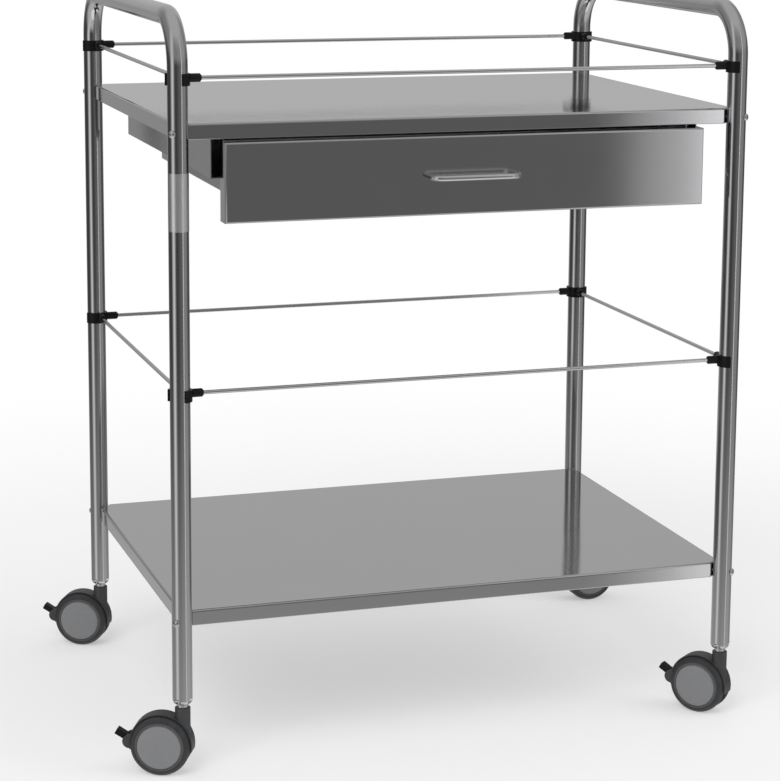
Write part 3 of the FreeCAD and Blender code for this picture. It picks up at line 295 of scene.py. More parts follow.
def plated_steel(name, tint, roughness):
    """Zinc plate: dull silver with small crystals and grey stains."""
    material, graph, shader, place = new_material(name, Metallic=1.0)
    grain = graph.add("ShaderNodeTexVoronoi", {"Vector": place, "Scale": 420.0})
    stain = noise(graph, place, 40.0)
    mixed = graph.blend(stain * 0.7 + grain * 0.5, shaded(tint, 0.8), shaded(tint, 1.12))
    feed(graph, shader, Base_Color=mixed, Roughness=roughness + (stain - 0.5) * 0.25,
         Normal=bump(graph, grain, 0.15, 0.0003))
    return material


def moulded_plastic(name, tint, roughness, mottle=0.6, gloss=0.5):
    """Moulded plastic: fine grain, faint flow marks and a dusting of lighter wear."""
    material, graph, shader, place = new_material(name, IOR=1.48, Specular_IOR_Level=gloss)
    fine = noise(graph, place, 900.0, 2.0)
    flow = noise(graph, place, 55.0, 3.0, (1.0, 1.0, 2.0))
    dust = noise(graph, place, 180.0, 5.0) ** 3.0
    mixed = graph.blend(flow * mottle + dust * 2.0 * mottle, shaded(tint, 0.9),
                        shaded(tint, 1.35))
    feed(graph, shader, Base_Color=mixed, Roughness=roughness + (flow - 0.5) * 0.16,
         Normal=bump(graph, fine, 0.1, 0.0002))
    return material


def rubber(name, tint):
    """Tyre rubber: matt, with a fine moulded grain and scuffs round the tread."""
    material, graph, shader, place = new_material(name, IOR=1.5)
    fine = noise(graph, place, 1300.0, 2.0)
    scuff = noise(graph, place, 90.0, 5.0)
    mixed = graph.blend(scuff ** 2.0, shaded(tint, 0.8), shaded(tint, 2.0))
    feed(graph, shader, Base_Color=mixed, Roughness=0.52 + (scuff - 0.5) * 0.3,
         Normal=bump(graph, fine + scuff * 0.5, 0.18, 0.0003))
    return material


def label_film(name, tint):
    """Blank translucent film: satin, slightly rippled, a little cloudy."""
    material, graph, shader, place = new_material(name, Metallic=0.9)
    ripple = noise(graph, place, 30.0, 1.0, (1.0, 1.0, 0.25))
    fibre = noise(graph, place, 500.0, 3.0)
    mixed = graph.blend(ripple * 0.7 + fibre * 0.3, shaded(tint, 0.92), shaded(tint, 1.1))
    feed(graph, shader, Base_Color=mixed, Roughness=0.30 + (fibre - 0.5) * 0.08,
         Normal=bump(graph, ripple, 0.1, 0.0004))
    return material


FINISHES = {}


def make_finishes(tints):
    """Every material of the table, by the name of its finish."""
    along_x, along_y, along_z = (8.0, 1900.0, 1900.0), (900.0, 6.0, 900.0), (700.0, 700.0, 5.0)
    even = (300.0, 300.0, 300.0)
    for finish, maker, name, tint, *settings in (
            ("tube", brushed_steel, "frame_tube_steel", tints.tube, 0.12, along_z, 0.08, 0.01),
            ("shelf", brushed_steel, "shelf_steel", tints.shelf, 0.065, along_x, 0.04, 0.9,
             0.012),
            ("front", brushed_steel, "drawer_front_steel", tints.drawer, 0.10, along_x, 0.03,
             0.25, 0.006, 0.95),
            ("box", brushed_steel, "drawer_box_steel", tints.drawer, 0.24, along_y),
            ("rod", brushed_steel, "rod_steel", tints.rod, 0.14, even),
            ("slide", plated_steel, "slide_zinc", tints.slide, 0.34),
            ("fastener", plated_steel, "fastener_steel", tints.rod, 0.22),
            ("clip", moulded_plastic, "clip_plastic", tints.clip, 0.36, 0.6, 0.2),
            ("hood", moulded_plastic, "castor_plastic", tints.hood, 0.42),
            ("rim", moulded_plastic, "wheel_rim_plastic", tints.rim, 0.40, 0.3),
            ("disc", moulded_plastic, "cover_disc_plastic", tints.disc, 0.38, 0.15),
            ("pedal", moulded_plastic, "pedal_plastic", tints.pedal, 0.34, 0.6, 0.2),
            ("tyre", rubber, "tyre_rubber", tints.tyre),
            ("label", label_film, "label_film", tints.label)):
        FINISHES[finish] = maker(name, tint, *settings)


# Mesh building ------------

def linked(name, data):
    """New object in the scene."""
    piece = bpy.data.objects.new(name, data)
    bpy.context.scene.collection.objects.link(piece)
    return piece


def new_object(name, mesh, *finishes):
    piece = linked(name, mesh)
    mesh.materials.clear()
    for finish in finishes:
        mesh.materials.append(FINISHES[finish])
    return piece


def smooth(mesh, angle=SHARP):
    mesh.polygons.foreach_set("use_smooth", [True] * len(mesh.polygons))
    mesh.set_sharp_from_angle(angle=angle)
    mesh.update()


def settled(piece):
    """Turn a piece's modifiers into plain mesh."""
    bpy.context.view_layer.update()
    shape = piece.evaluated_get(bpy.context.evaluated_depsgraph_get())
    mesh = bpy.data.meshes.new_from_object(shape)
    mesh.name = piece.name
    piece.modifiers.clear()
    piece.data = mesh
    return piece


def evened(piece):
    """Apply a piece's modifiers, then shade it smooth with its flat faces kept flat."""
    settled(piece)
    smooth(piece.data)
    weighted = piece.modifiers.new("normals", "WEIGHTED_NORMAL")
    weighted.mode, weighted.weight, weighted.keep_sharp = "FACE_AREA", 100, True
    return settled(piece)


def soften_edges(piece, width, segments=2):
    """Round a piece's sharp edges."""
    bevel = piece.modifiers.new("edge", "BEVEL")
    bevel.width, bevel.segments = width, segments
    bevel.limit_method, bevel.angle_limit = "ANGLE", SHARP
    bevel.use_clamp_overlap = True
    return evened(piece)


def thicken(piece, wall):
    """Give a folded skin its sheet thickness on the inside."""
    sheet = piece.modifiers.new("sheet", "SOLIDIFY")
    sheet.thickness, sheet.offset, sheet.use_even_offset = wall, -1.0, True
    return evened(piece)


def turned(spot, angle, axis):
    """Matrix that turns about an axis and then moves to a spot."""
    return Matrix.Translation(spot) @ Matrix.Rotation(angle, 4, axis)


def mid_height(node):
    low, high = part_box(node)
    return (low.z + high.z) / 2


def fasten(piece, body, nodes):
    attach(piece, body)
    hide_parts(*nodes)
    return piece


def ring_points(corners, inset):
    """Corners of a convex outline drawn in by inset, each side moved inwards."""
    count = len(corners)
    moved = []
    for index in range(count):
        before, here, after = corners[index - 1], corners[index], corners[(index + 1) % count]
        first, second = (here - before).normalized(), (after - here).normalized()
        inward_first, inward_second = Vector((-first.y, first.x)), Vector((-second.y, second.x))
        spread = 1.0 + inward_first.dot(inward_second)
        moved.append(here + (inward_first + inward_second) * (inset / spread))
    return moved


def opened(*meshes):
    """Editable shape out of one or more meshes."""
    work = bmesh.new()
    for mesh in meshes:
        work.from_mesh(mesh)
    return work


def closed(work, mesh):
    """Write an edited shape back to its mesh."""
    work.to_mesh(mesh)
    work.free()
    return mesh


def outward(work, mesh):
    """Turn the faces outwards and write them to a mesh."""
    bmesh.ops.recalc_face_normals(work, faces=work.faces)
    return closed(work, mesh)


def stacked(name, corners, rows):
    """Skin through copies of an outline, each row an (inset, height) pair."""
    work = bmesh.new()
    rings = []
    for inset, height in rows:
        rings.append([work.verts.new((spot.x, spot.y, height))
                      for spot in ring_points(corners, inset)])
    count = len(corners)
    work.faces.new(rings[0])
    for lower, upper in zip(rings, rings[1:]):
        for index in range(count):
            after = (index + 1) % count
            work.faces.new((lower[index], upper[index], upper[after], lower[after]))
    return outward(work, bpy.data.meshes.new(name))


def arc(centre_radius, centre_height, radius, start, end, steps):
    """Profile points round a centre, angles in degrees from the outward direction."""
    angles = [radians(start + (end - start) * k / steps) for k in range(steps + 1)]
    return [(centre_radius + radius * cos(angle), centre_height + radius * sin(angle))
            for angle in angles]


def pan_rows(fold, wall, lip, low, high):
    """Rows of a folded pan: its face, the fold round it, the lower fold and the lip."""
    rows = [(fold, high)]
    for radius, middle, start, steps in ((fold, high - fold, 90, 6), (wall, low + wall, 0, 3)):
        round_off = [(radius - reach, height) for reach, height in
                     arc(0.0, middle, radius, start, start - 90, steps)]
        rows += round_off[1:] if start else round_off
    return rows + [(lip, low)]


def lathe(name, profile, steps, shape=None):
    """Turn (radius, height) pairs about Z; shape may draw a point in by its angle."""
    work = bmesh.new()
    rings = []
    for radius, height in profile:
        if radius < 1e-7:
            rings.append([work.verts.new((0.0, 0.0, height))])
            continue
        ring = []
        for step in range(steps):
            angle = 2 * pi * step / steps
            reach = shape(radius, height, angle) if shape else radius
            ring.append(work.verts.new((reach * cos(angle), reach * sin(angle), height)))
        rings.append(ring)
    for lower, upper in zip(rings, rings[1:]):
        for step in range(steps):
            after = (step + 1) % steps
            spots = dict.fromkeys((lower[step % len(lower)], upper[step % len(upper)],
                                   upper[after % len(upper)], lower[after % len(lower)]))
            if len(spots) > 2:
                work.faces.new(tuple(spots))
    return outward(work, bpy.data.meshes.new(name))


def join_meshes(name, *meshes):
    """One mesh out of several, with touching points merged."""
    work = opened(*meshes)
    bmesh.ops.remove_doubles(work, verts=work.verts, dist=1e-5)
    return outward(work, bpy.data.meshes.new(name))


def node_copy(name, node, *finishes):
    """Merged copy of a CAD node's mesh, so that its edges can be rounded."""
    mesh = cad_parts[node].data.copy()
    mesh.name = name
    work = opened(mesh)
    bmesh.ops.remove_doubles(work, verts=work.verts, dist=2e-6)
    bmesh.ops.dissolve_limit(work, angle_limit=radians(0.4), verts=work.verts,
                             edges=work.edges)
    return new_object(name, closed(work, mesh), *finishes)


# Geometry node trees ------------

SOCKET_KINDS = {"Bend Steps": "NodeSocketInt", "Sides": "NodeSocketInt",
                "Shape": "NodeSocketObject", "Material": "NodeSocketMaterial"}


def tree_with(name, *labels):
    """Geometry node tree with named inputs; gives its graph and a wire for each input."""
    tree = bpy.data.node_groups.new(name, "GeometryNodeTree")
    for label in labels:
        tree.interface.new_socket(name=label, in_out="INPUT",
                                  socket_type=SOCKET_KINDS.get(label, "NodeSocketFloat"))
    tree.interface.new_socket(name="Geometry", in_out="OUTPUT",
                              socket_type="NodeSocketGeometry")
    graph = Graph(tree)
    entry = tree.nodes.new("NodeGroupInput")
    return graph, {label: Wire(graph, entry.outputs[label]) for label in labels}


def close_tree(graph, geometry, material):
    """Realize the instances, set the material and end the tree."""
    real = graph.add("GeometryNodeRealizeInstances", {"Geometry": geometry})
    painted = graph.add("GeometryNodeSetMaterial", {"Geometry": real, "Material": material})
    graph.tree.links.new(painted.socket,
                         graph.tree.nodes.new("NodeGroupOutput").inputs["Geometry"])
    return graph.tree


TREES = {}


def grown(name, maker, finish, values):
    """Mesh that a tree makes with the given inputs and finish, as a plain object."""
    if maker not in TREES:
        TREES[maker] = maker()
    tree = TREES[maker]
    values["Material"] = FINISHES[finish]
    piece = linked(name, bpy.data.meshes.new(name))
    modifier = piece.modifiers.new("shape", "NODES")
    modifier.node_group = tree
    for item in tree.interface.items_tree:
        if item.item_type == "SOCKET" and item.in_out == "INPUT":
            modifier[item.identifier] = values[item.name]
    return settled(piece)


def bent_tube_tree():
    """Round bar or tube along an upside-down U with a bend at each end."""
    graph, wire = tree_with("bent_tube", "Reach", "Top", "Foot", "Bend Radius", "Radius",
                            "Bend Steps", "Sides", "Material")
    left = 0.0 - wire["Reach"]
    spots = [graph.vector(x=x, z=z)
             for x, z in ((left, wire["Foot"]), (left, wire["Top"]),
                          (wire["Reach"], wire["Top"]), (wire["Reach"], wire["Foot"]))]
    frame_line = graph.add("GeometryNodeCurvePrimitiveQuadrilateral", {
        f"Point {k}": spot for k, spot in enumerate(spots, 1)}, mode="POINTS")
    unclosed = graph.add("GeometryNodeSetSplineCyclic", {"Geometry": frame_line, "Cyclic": False})
    path = graph.add("GeometryNodeFilletCurve", {
        "Curve": unclosed, "Count": wire["Bend Steps"], "Radius": wire["Bend Radius"]},
        mode="POLY")
    ring = graph.add("GeometryNodeCurvePrimitiveCircle", {
        "Resolution": wire["Sides"], "Radius": wire["Radius"]}, mode="RADIUS")
    tube = graph.add("GeometryNodeCurveToMesh", {"Curve": path, "Profile Curve": ring})
    return close_tree(graph, tube, wire["Material"])


def gallery_tree():
    """Two rods along X and two along Y round the table at one height."""
    graph, wire = tree_with("gallery_rods", "Reach X", "Reach Y", "Row X", "Row Y", "Height",
                            "Radius", "Sides", "Material")
    ring = graph.add("GeometryNodeCurvePrimitiveCircle", {
        "Resolution": wire["Sides"], "Radius": wire["Radius"]}, mode="RADIUS")
    placed = []
    for along, across, reach, row in (("x", "y", wire["Reach X"], wire["Row Y"]),
                                      ("y", "x", wire["Reach Y"], wire["Row X"])):
        line = graph.add("GeometryNodeCurvePrimitiveLine",
                         {"Start": graph.vector(**{along: 0.0 - reach}),
                          "End": graph.vector(**{along: reach})})
        rod = graph.add("GeometryNodeCurveToMesh",
                        {"Curve": line, "Profile Curve": ring, "Fill Caps": True})
        first = graph.vector(**{across: 0.0 - row, "z": wire["Height"]})
        pair = graph.add("GeometryNodeMeshLine", {
            "Count": 2, "Start Location": first,
            "Offset": graph.vector(**{across: row * 2.0})}, mode="OFFSET")
        placed.append(graph.add("GeometryNodeInstanceOnPoints",
                                {"Points": pair, "Instance": rod}))
    joined = graph.tree.nodes.new("GeometryNodeJoinGeometry")
    for rods in placed:
        graph.tree.links.new(rods.socket, joined.inputs[0])
    return close_tree(graph, Wire(graph, joined.outputs[0]), wire["Material"])


def corner_tree():
    """One shape at each of the four legs, turned a quarter further at each corner."""
    graph, wire = tree_with("corner_pieces", "Shape", "Leg X", "Leg Y", "Height", "Turn",
                            "Material")
    grid = graph.add("GeometryNodeMeshGrid",
                     {"Size X": wire["Leg X"] * 2.0, "Size Y": wire["Leg Y"] * 2.0,
                      "Vertices X": 2, "Vertices Y": 2})
    spots = graph.add("GeometryNodeMeshToPoints", {"Mesh": grid})
    raised = graph.add("GeometryNodeSetPosition",
                       {"Geometry": spots, "Offset": graph.vector(z=wire["Height"])})
    place = graph.add("ShaderNodeSeparateXYZ", {0: graph.add("GeometryNodeInputPosition")})
    angle = graph.maths("ARCTAN2", graph.maths("SIGN", place.other(1)),
                        graph.maths("SIGN", place)) + wire["Turn"]
    turn = graph.vector(z=angle)
    shape = graph.add("GeometryNodeObjectInfo", {"Object": wire["Shape"]}, "Geometry",
                      transform_space="ORIGINAL")
    copies = graph.add("GeometryNodeInstanceOnPoints",
                       {"Points": raised, "Instance": shape, "Rotation": turn})
    return close_tree(graph, copies, wire["Material"])


def at_corners(name, pattern, finish, height, turn):
    """A pattern at each leg, turned outwards from its corner."""
    return grown(name, corner_tree, finish, {
        "Shape": pattern, "Leg X": LEG_X, "Leg Y": LEG_Y, "Height": height, "Turn": turn})


# Pieces ------------

class TableStep:
    """What every step of the build shares."""

    bl_options = {"REGISTER", "UNDO"}

    def execute(self, context):
        self.build(context.scene.instrument_table_sizes,
                   context.scene.instrument_table_colours)
        return {"FINISHED"}


class INSTRUMENT_TABLE_OT_finishes(TableStep, Operator):
    """Make the table's steel, plastic, rubber and film finishes"""

    bl_idname = "instrument_table.finishes"
    bl_label = "Finishes"

    def build(self, sizes, tints):
        make_finishes(tints)


class INSTRUMENT_TABLE_OT_end_frames(TableStep, Operator):
    """Bend the two tube end frames and close in their notched leg ends"""

    bl_idname = "instrument_table.end_frames"
    bl_label = "End Frames"

    def build(self, sizes, tints):
        leg_end = LEG_TIP + sizes.nose_height * LEG_END_RISE
        for side, node in ((-1, "left_end_frame"), (1, "right_end_frame")):
            tube = grown(node + "_tube", bent_tube_tree, "tube", {
                "Reach": LEG_Y, "Top": HANDLE_Z, "Foot": leg_end, "Bend Steps": 28,
                "Bend Radius": sizes.bend_radius, "Radius": TUBE_RADIUS, "Sides": ROUND})
            tube.data.transform(turned((side * LEG_X, 0.0, 0.0), QUARTER, "Z"))
            ends = []
            for y_side in (-1, 1):
                nose = self.leg_nose(sizes, leg_end)
                nose.transform(Matrix.Translation((side * LEG_X, y_side * LEG_Y, 0.0)))
                ends.append(nose)
            joined = join_meshes(node, tube.data, *ends)
            bpy.data.objects.remove(tube)
            smooth(joined, radians(40))
            piece = new_object(node.replace("_end_frame", "_frame_tube"), joined, "tube")
            fasten(piece, "stand", [node])

    def leg_nose(self, sizes, leg_end):
        """Leg end drawn in to a small mouth, with four notches pressed into its shoulder."""
        notch, middle = sizes.dimple_radius, LEG_TIP + sizes.dimple_rise

        def notched(reach, height, angle):
            off = angle % QUARTER - QUARTER / 2
            room = notch ** 2 - (height - middle) ** 2 - (TUBE_RADIUS * sin(off)) ** 2
            if room <= 0.0 or reach <= sizes.nose_bore:
                return reach
            pressed = TUBE_RADIUS * cos(off) - sqrt(room)
            return min(reach, max(pressed, sizes.nose_bore + 0.0006))

        core = sizes.nose_radius - 0.0005
        start = LEG_TIP + sizes.nose_height
        profile = [(TUBE_RADIUS, leg_end - 0.00045 * k) for k in range(6)]
        profile += [(core + (TUBE_RADIUS - core) * cos(angle),
                     start - sizes.nose_height * sin(angle))
                    for angle in (radians(NOSE_TURN * k / 16) for k in range(17))]
        profile += [(sizes.nose_bore + 0.0004, LEG_TIP), (sizes.nose_bore, LEG_TIP + 0.0004),
                    (sizes.nose_bore, LEG_TIP + 0.006)]
        return lathe("leg_nose", profile, ROUND, notched)


class INSTRUMENT_TABLE_OT_gallery_rods(TableStep, Operator):
    """Lay the four rods of each gallery"""

    bl_idname = "instrument_table.gallery_rods"
    bl_label = "Gallery Rods"

    def build(self, sizes, tints):
        for level in ("upper", "lower"):
            rods = grown(level + "_gallery_rods", gallery_tree, "rod", {
                "Reach X": LEG_X - sizes.rod_end, "Reach Y": LEG_Y - sizes.rod_end,
                "Row X": LEG_X - sizes.rod_inset, "Row Y": LEG_Y - sizes.rod_inset,
                "Height": mid_height(level + "_front_rod"), "Radius": sizes.rod_radius,
                "Sides": 32})
            smooth(rods.data)
            fasten(rods, "stand", [f"{level}_{side}_rod" for side in
                                   ("front", "back", "left", "right")])


class INSTRUMENT_TABLE_OT_gallery_clips(TableStep, Operator):
    """Snap a black clip on each leg at both galleries"""

    bl_idname = "instrument_table.gallery_clips"
    bl_label = "Gallery Clips"

    def build(self, sizes, tints):
        pattern = self.one_clip(sizes, mid_height("upper_front_rod"))
        for level in ("upper", "lower"):
            clips = at_corners(level + "_clips", pattern, "clip",
                               mid_height(level + "_front_rod"), radians(135))
            fasten(clips, "stand", [level + "_gallery_clips"])
        bpy.data.objects.remove(pattern)

    def one_clip(self, sizes, height):
        """The front left clip, brought to the middle and its edges rounded."""
        clip = node_copy("clip_pattern", "upper_gallery_clips", "clip")
        work = opened(clip.data)
        others = [vertex for vertex in work.verts if vertex.co.x > 0 or vertex.co.y > 0]
        bmesh.ops.delete(work, geom=others, context="VERTS")
        bmesh.ops.translate(work, verts=work.verts, vec=(LEG_X, LEG_Y, -height))
        closed(work, clip.data)
        return soften_edges(clip, sizes.clip_edge)


class INSTRUMENT_TABLE_OT_corner_screws(TableStep, Operator):
    """Drive the domed screws through the legs into the shelf corners"""

    bl_idname = "instrument_table.corner_screws"
    bl_label = "Corner Screws"

    def build(self, sizes, tints):
        pattern = self.one_screw(sizes)
        low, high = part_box("shelf_screws")
        made = [at_corners("screw_row", pattern, "fastener", height, 0.0) for height in
                (high.z - sizes.screw_radius, low.z + sizes.screw_radius)]
        joined = join_meshes("corner_screws", *[row.data for row in made])
        smooth(joined)
        screws = new_object("corner_screws", joined, "fastener")
        for leftover in made + [pattern]:
            bpy.data.objects.remove(leftover)
        fasten(screws, "stand", ["shelf_screws"])

    def one_screw(self, sizes):
        """Domed head with a hexagon recess, its shank through the leg, along +X."""
        radius, height, shank = sizes.screw_radius, sizes.screw_height, SCREW_SHANK
        tail = -(2 * TUBE_RADIUS + SCREW_PAST_TUBE)
        key, floor = SCREW_KEY, height - SCREW_KEY_DEPTH
        head = [(radius * cos(radians(a)) ** 0.75,
                 height * (0.25 + 0.75 * sin(radians(a)))) for a in range(0, 75, 8)]
        profile = [(0.0, tail), (shank - 0.0004, tail), (shank, tail + 0.0005), (shank, 0.0),
                   (radius, 0.0)] + head + [(key + 0.0002, height), (key, height - 0.0002),
                                            (key, floor), (0.0, floor - 0.0004)]

        def six_sided(reach, level, angle):
            if reach > key + 0.0003 or level < 0.0005:
                return reach
            corner = angle % radians(60) - radians(30)
            return reach * cos(radians(30)) / cos(corner)

        mesh = lathe("screw_pattern", profile, 48, six_sided)
        mesh.transform(turned((TUBE_RADIUS, 0.0, 0.0), QUARTER, "Y"))
        return new_object("screw_pattern", mesh, "fastener")


def octagon():
    """Shelf outline seen from above: a rectangle with its corners cut across at the legs."""
    low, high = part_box("top_shelf")
    reach = LEG_X + LEG_Y - sqrt(2) * (TUBE_RADIUS + 0.0001)
    near_x, near_y = reach - high.y, reach - high.x
    return [Vector(spot) for spot in (
        (near_x, low.y), (high.x, -near_y), (high.x, near_y), (near_x, high.y),
        (-near_x, high.y), (low.x, near_y), (low.x, -near_y), (-near_x, low.y))]


class INSTRUMENT_TABLE_OT_shelves(TableStep, Operator):
    """Fold the two shelves"""

    bl_idname = "instrument_table.shelves"
    bl_label = "Shelves"

    def build(self, sizes, tints):
        for node in ("top_shelf", "bottom_shelf"):
            low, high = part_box(node)
            rows = pan_rows(sizes.shelf_fold, sizes.shelf_sheet, sizes.shelf_lip, low.z, high.z)
            pan = new_object(node + "_pan", stacked(node, octagon(), rows), "shelf")
            thicken(pan, sizes.shelf_sheet)
            fasten(pan, "stand", [node])


class INSTRUMENT_TABLE_OT_drawer(TableStep, Operator):
    """Fold the drawer's front, round the edges of its box and bend its handle"""

    bl_idname = "instrument_table.drawer"
    bl_label = "Drawer"

    def build(self, sizes, tints):
        self.front(sizes)
        self.handle(sizes)
        box = node_copy("drawer_tray", "drawer_box", "box")
        soften_edges(box, DRAWER_EDGE, 1)
        fasten(box, "drawer", ["drawer_box"])

    def front(self, sizes):
        """Pan with its skin to the front, four returns and a flange round the back."""
        low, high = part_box("drawer_front")
        corners = [Vector((side.x, end.z)) for side, end in
                   ((low, low), (high, low), (high, high), (low, high))]
        rows = pan_rows(sizes.front_fold, DRAWER_SHEET, sizes.front_flange, 0.0, high.y - low.y)
        mesh = stacked("drawer_front", corners, rows)
        mesh.transform(turned((0.0, high.y, 0.0), QUARTER, "X"))
        front = new_object("drawer_front_pan", mesh, "front")
        thicken(front, DRAWER_SHEET)
        fasten(front, "drawer", ["drawer_front"])

    def handle(self, sizes):
        low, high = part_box("drawer_handle")
        wire = grown("drawer_pull", bent_tube_tree, "rod", {
            "Reach": sizes.pull_span / 2, "Top": high.y - low.y - sizes.pull_radius,
            "Foot": 0.0, "Bend Radius": sizes.pull_bend, "Radius": sizes.pull_radius,
            "Bend Steps": 16, "Sides": 40})
        wire.data.transform(turned((0.0, high.y, mid_height("drawer_handle")), QUARTER, "X"))
        smooth(wire.data)
        fasten(wire, "drawer", ["drawer_handle"])


def castor_place(corner):
    """Where a castor stands and the way it trails: leg, angle, trail and axle height."""
    near_low, near_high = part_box(corner + "_castor_near_wheel")
    far_low, far_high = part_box(corner + "_castor_far_wheel")
    middle = (near_low + near_high + far_low + far_high) / 4
    leg = Vector((LEG_X if "right" in corner else -LEG_X,
                  LEG_Y if "back" in corner else -LEG_Y, 0.0))
    trail = Vector((middle.x - leg.x, middle.y - leg.y))
    return leg, atan2(trail.y, trail.x), trail.length, middle.z


class INSTRUMENT_TABLE_OT_castor_wheels(TableStep, Operator):
    """Turn the castors' wheels, cover discs and tyres"""

    bl_idname = "instrument_table.castor_wheels"
    bl_label = "Castor Wheels"

    def build(self, sizes, tints):
        for corner in CORNERS:
            leg, angle, trail, height = castor_place(corner)
            home = turned(leg, angle, "Z") @ Matrix.Translation((trail, 0.0, height))
            for side, turn in (("near", -QUARTER), ("far", QUARTER)):
                body = f"{corner}_{side}_wheel"
                node = f"{corner}_castor_{side}"
                stand = home @ Matrix.Rotation(turn, 4, "X")
                wheel = new_object(node + "_hub", self.hub(sizes), "rim", "disc")
                self.paint_disc(wheel.data, sizes.disc_radius + DISC_MARGIN)
                wheel.data.transform(stand)
                fasten(wheel, body, [node + "_wheel"])
                tyre = new_object(node + "_tread", self.tyre(sizes), "tyre")
                tyre.data.transform(stand)
                fasten(tyre, body, [node + "_tyre"])

    def hub(self, sizes):
        """Dark rim with a groove, and the domed cover disc inside it."""
        rim, disc, edge = sizes.rim_radius, sizes.disc_radius, DISC_EDGE
        web, face = WHEEL_GAP, WHEEL_FACE
        top = face + sizes.disc_rise
        profile = [(WHEEL_BORE, web), (rim, web), (rim, face - 0.0004), (rim - 0.0004, face),
                   (disc + 0.0012, face), (disc + 0.0007, face - 0.0005),
                   (disc + 0.0001, face - 0.0005)]
        profile += arc(disc - edge, top - edge, edge, 0, 80, 5)
        profile += [(disc * cos(radians(a)) * DISC_SHARE, top + sizes.disc_dome * sin(radians(a)))
                    for a in range(6, 90, 7)]
        profile += [(0.0, top + sizes.disc_dome)]
        mesh = lathe("hub", profile, ROUND)
        smooth(mesh, radians(28))
        return mesh

    def paint_disc(self, mesh, radius):
        for face in mesh.polygons:
            spot = face.center
            if hypot(spot.x, spot.y) < radius and spot.z > DISC_LEVEL:
                face.material_index = 1

    def tyre(self, sizes):
        """Ring with a rounded outer shoulder, a small inner one and a shallow mould line."""
        web, face = WHEEL_GAP, WHEEL_FACE
        rim, tread, shoulder = sizes.rim_radius, sizes.tread_radius, sizes.shoulder
        inner, (aside, half, depth) = TYRE_INNER_EDGE, MOULD_LINE
        middle = (web + face) / 2 - aside
        profile = [(rim, web), (tread - inner, web)]
        profile += arc(tread - inner, web + inner, inner, -90, 0, 5)[1:]
        profile += [(tread, middle - half), (tread - depth, middle), (tread, middle + half)]
        profile += arc(tread - shoulder, face - shoulder, shoulder, 0, 90, 12)
        profile += [(rim + 0.0005, face), (rim, face - 0.0004), (rim, web)]
        mesh = join_meshes("tyre", lathe("tyre_skin", profile, ROUND))
        smooth(mesh, radians(35))
        return mesh


class INSTRUMENT_TABLE_OT_castor_hoods(TableStep, Operator):
    """Mould the castors' hoods and brake pedals"""

    bl_idname = "instrument_table.castor_hoods"
    bl_label = "Castor Hoods"

    def build(self, sizes, tints):
        for corner in CORNERS:
            hood = node_copy(corner + "_hood", corner + "_castor_hood", "hood")
            soften_edges(hood, sizes.plastic_edge)
            fasten(hood, corner + "_castor", [corner + "_castor_hood"])
            node = corner + "_castor_brake_pedal"
            pedal = node_copy(corner + "_pedal", node, "pedal")
            self.add_ribs(pedal.data, corner, sizes)
            soften_edges(pedal, sizes.plastic_edge * PEDAL_EDGE_SHARE)
            fasten(pedal, corner + "_brake", [node])

    def add_ribs(self, mesh, corner, sizes):
        """Close the pedal's sides with a rib below each edge of its plate."""
        leg, angle, trail, _height = castor_place(corner)
        slope = QUARTER * sizes.pedal_slope
        pivot = trail + sizes.hood_radius * cos(PEDAL_PIVOT)
        pivot_z = (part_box(corner + "_castor_brake_pedal")[1].z
                   - sizes.pedal_reach * sin(slope) - PEDAL_HUB * cos(slope))
        place = turned(leg, angle, "Z") @ turned((pivot, 0.0, pivot_z), -slope, "Y")
        work = opened(mesh)
        foot, end = -sizes.pedal_drop, sizes.pedal_reach - 0.001
        outline = ((0.003, 0.0015), (end, 0.0015), (end, foot), (0.0035, foot))
        for side in (-1, 1):
            outer = side * (sizes.pedal_width / 2 - 0.00015)
            inner = outer - side * sizes.pedal_rib
            rings = [[work.verts.new(place @ Vector((x, y, z))) for x, z in outline]
                     for y in (outer, inner)]
            for k in range(4):
                after = (k + 1) % 4
                work.faces.new((rings[0][k], rings[0][after], rings[1][after], rings[1][k]))
            work.faces.new(rings[0])
            work.faces.new(rings[1])
        outward(work, mesh)


class INSTRUMENT_TABLE_OT_fittings(TableStep, Operator):
    """Finish the slides, cases, pins, nuts, axles and label that keep their CAD shape"""

    bl_idname = "instrument_table.fittings"
    bl_label = "Fittings"

    def build(self, sizes, tints):
        finishes = {"shelf_nuts": "fastener", "drawer_handle_screws": "fastener",
                    "castor_swivel_pins": "fastener", "leg_label": "label"}
        for side in ("left", "right"):
            finishes[side + "_runner_case"] = "box"
            for rail in ("outer", "middle", "inner"):
                finishes[f"{side}_slide_{rail}_rail"] = "slide"
        for corner in CORNERS:
            finishes[corner + "_castor_axle"] = "fastener"
        for node, finish in finishes.items():
            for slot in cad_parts[node].material_slots:
                slot.material = FINISHES[finish]


# Studio ------------

CAMERA_PLACE = (-1.00394, -3.03880, 1.13026)
CAMERA_LENS = 110.963
CAMERA_SHIFT = -0.16005
CAMERA_YAW, CAMERA_PITCH, CAMERA_ROLL = 0.31473, 0.17050, 0.00662
AIM = Vector((0.0, 0.0, 0.45))
LAMPS = (("key_lamp", (-2.4, -2.8, 3.6), 85.0), ("fill_lamp", (3.0, -1.6, 2.6), 35.0))
LAMP_SIZE = 2.4
AMBIENT = 0.64
FLOOR_HALF, FLOOR_FADE = 60.0, (0.45, 2.0)
FLOOR_WHITE, FLOOR_FADED = 0.4, 0.6  # share of plain white near the table, and what far adds
WALL_RADIUS, WALL_FOOT, WALL_TOP, WALL_STEPS = 4.5, -7.0, 9.0, 96
BELOW_GREY, ABOVE_GREY = 0.68, 0.52
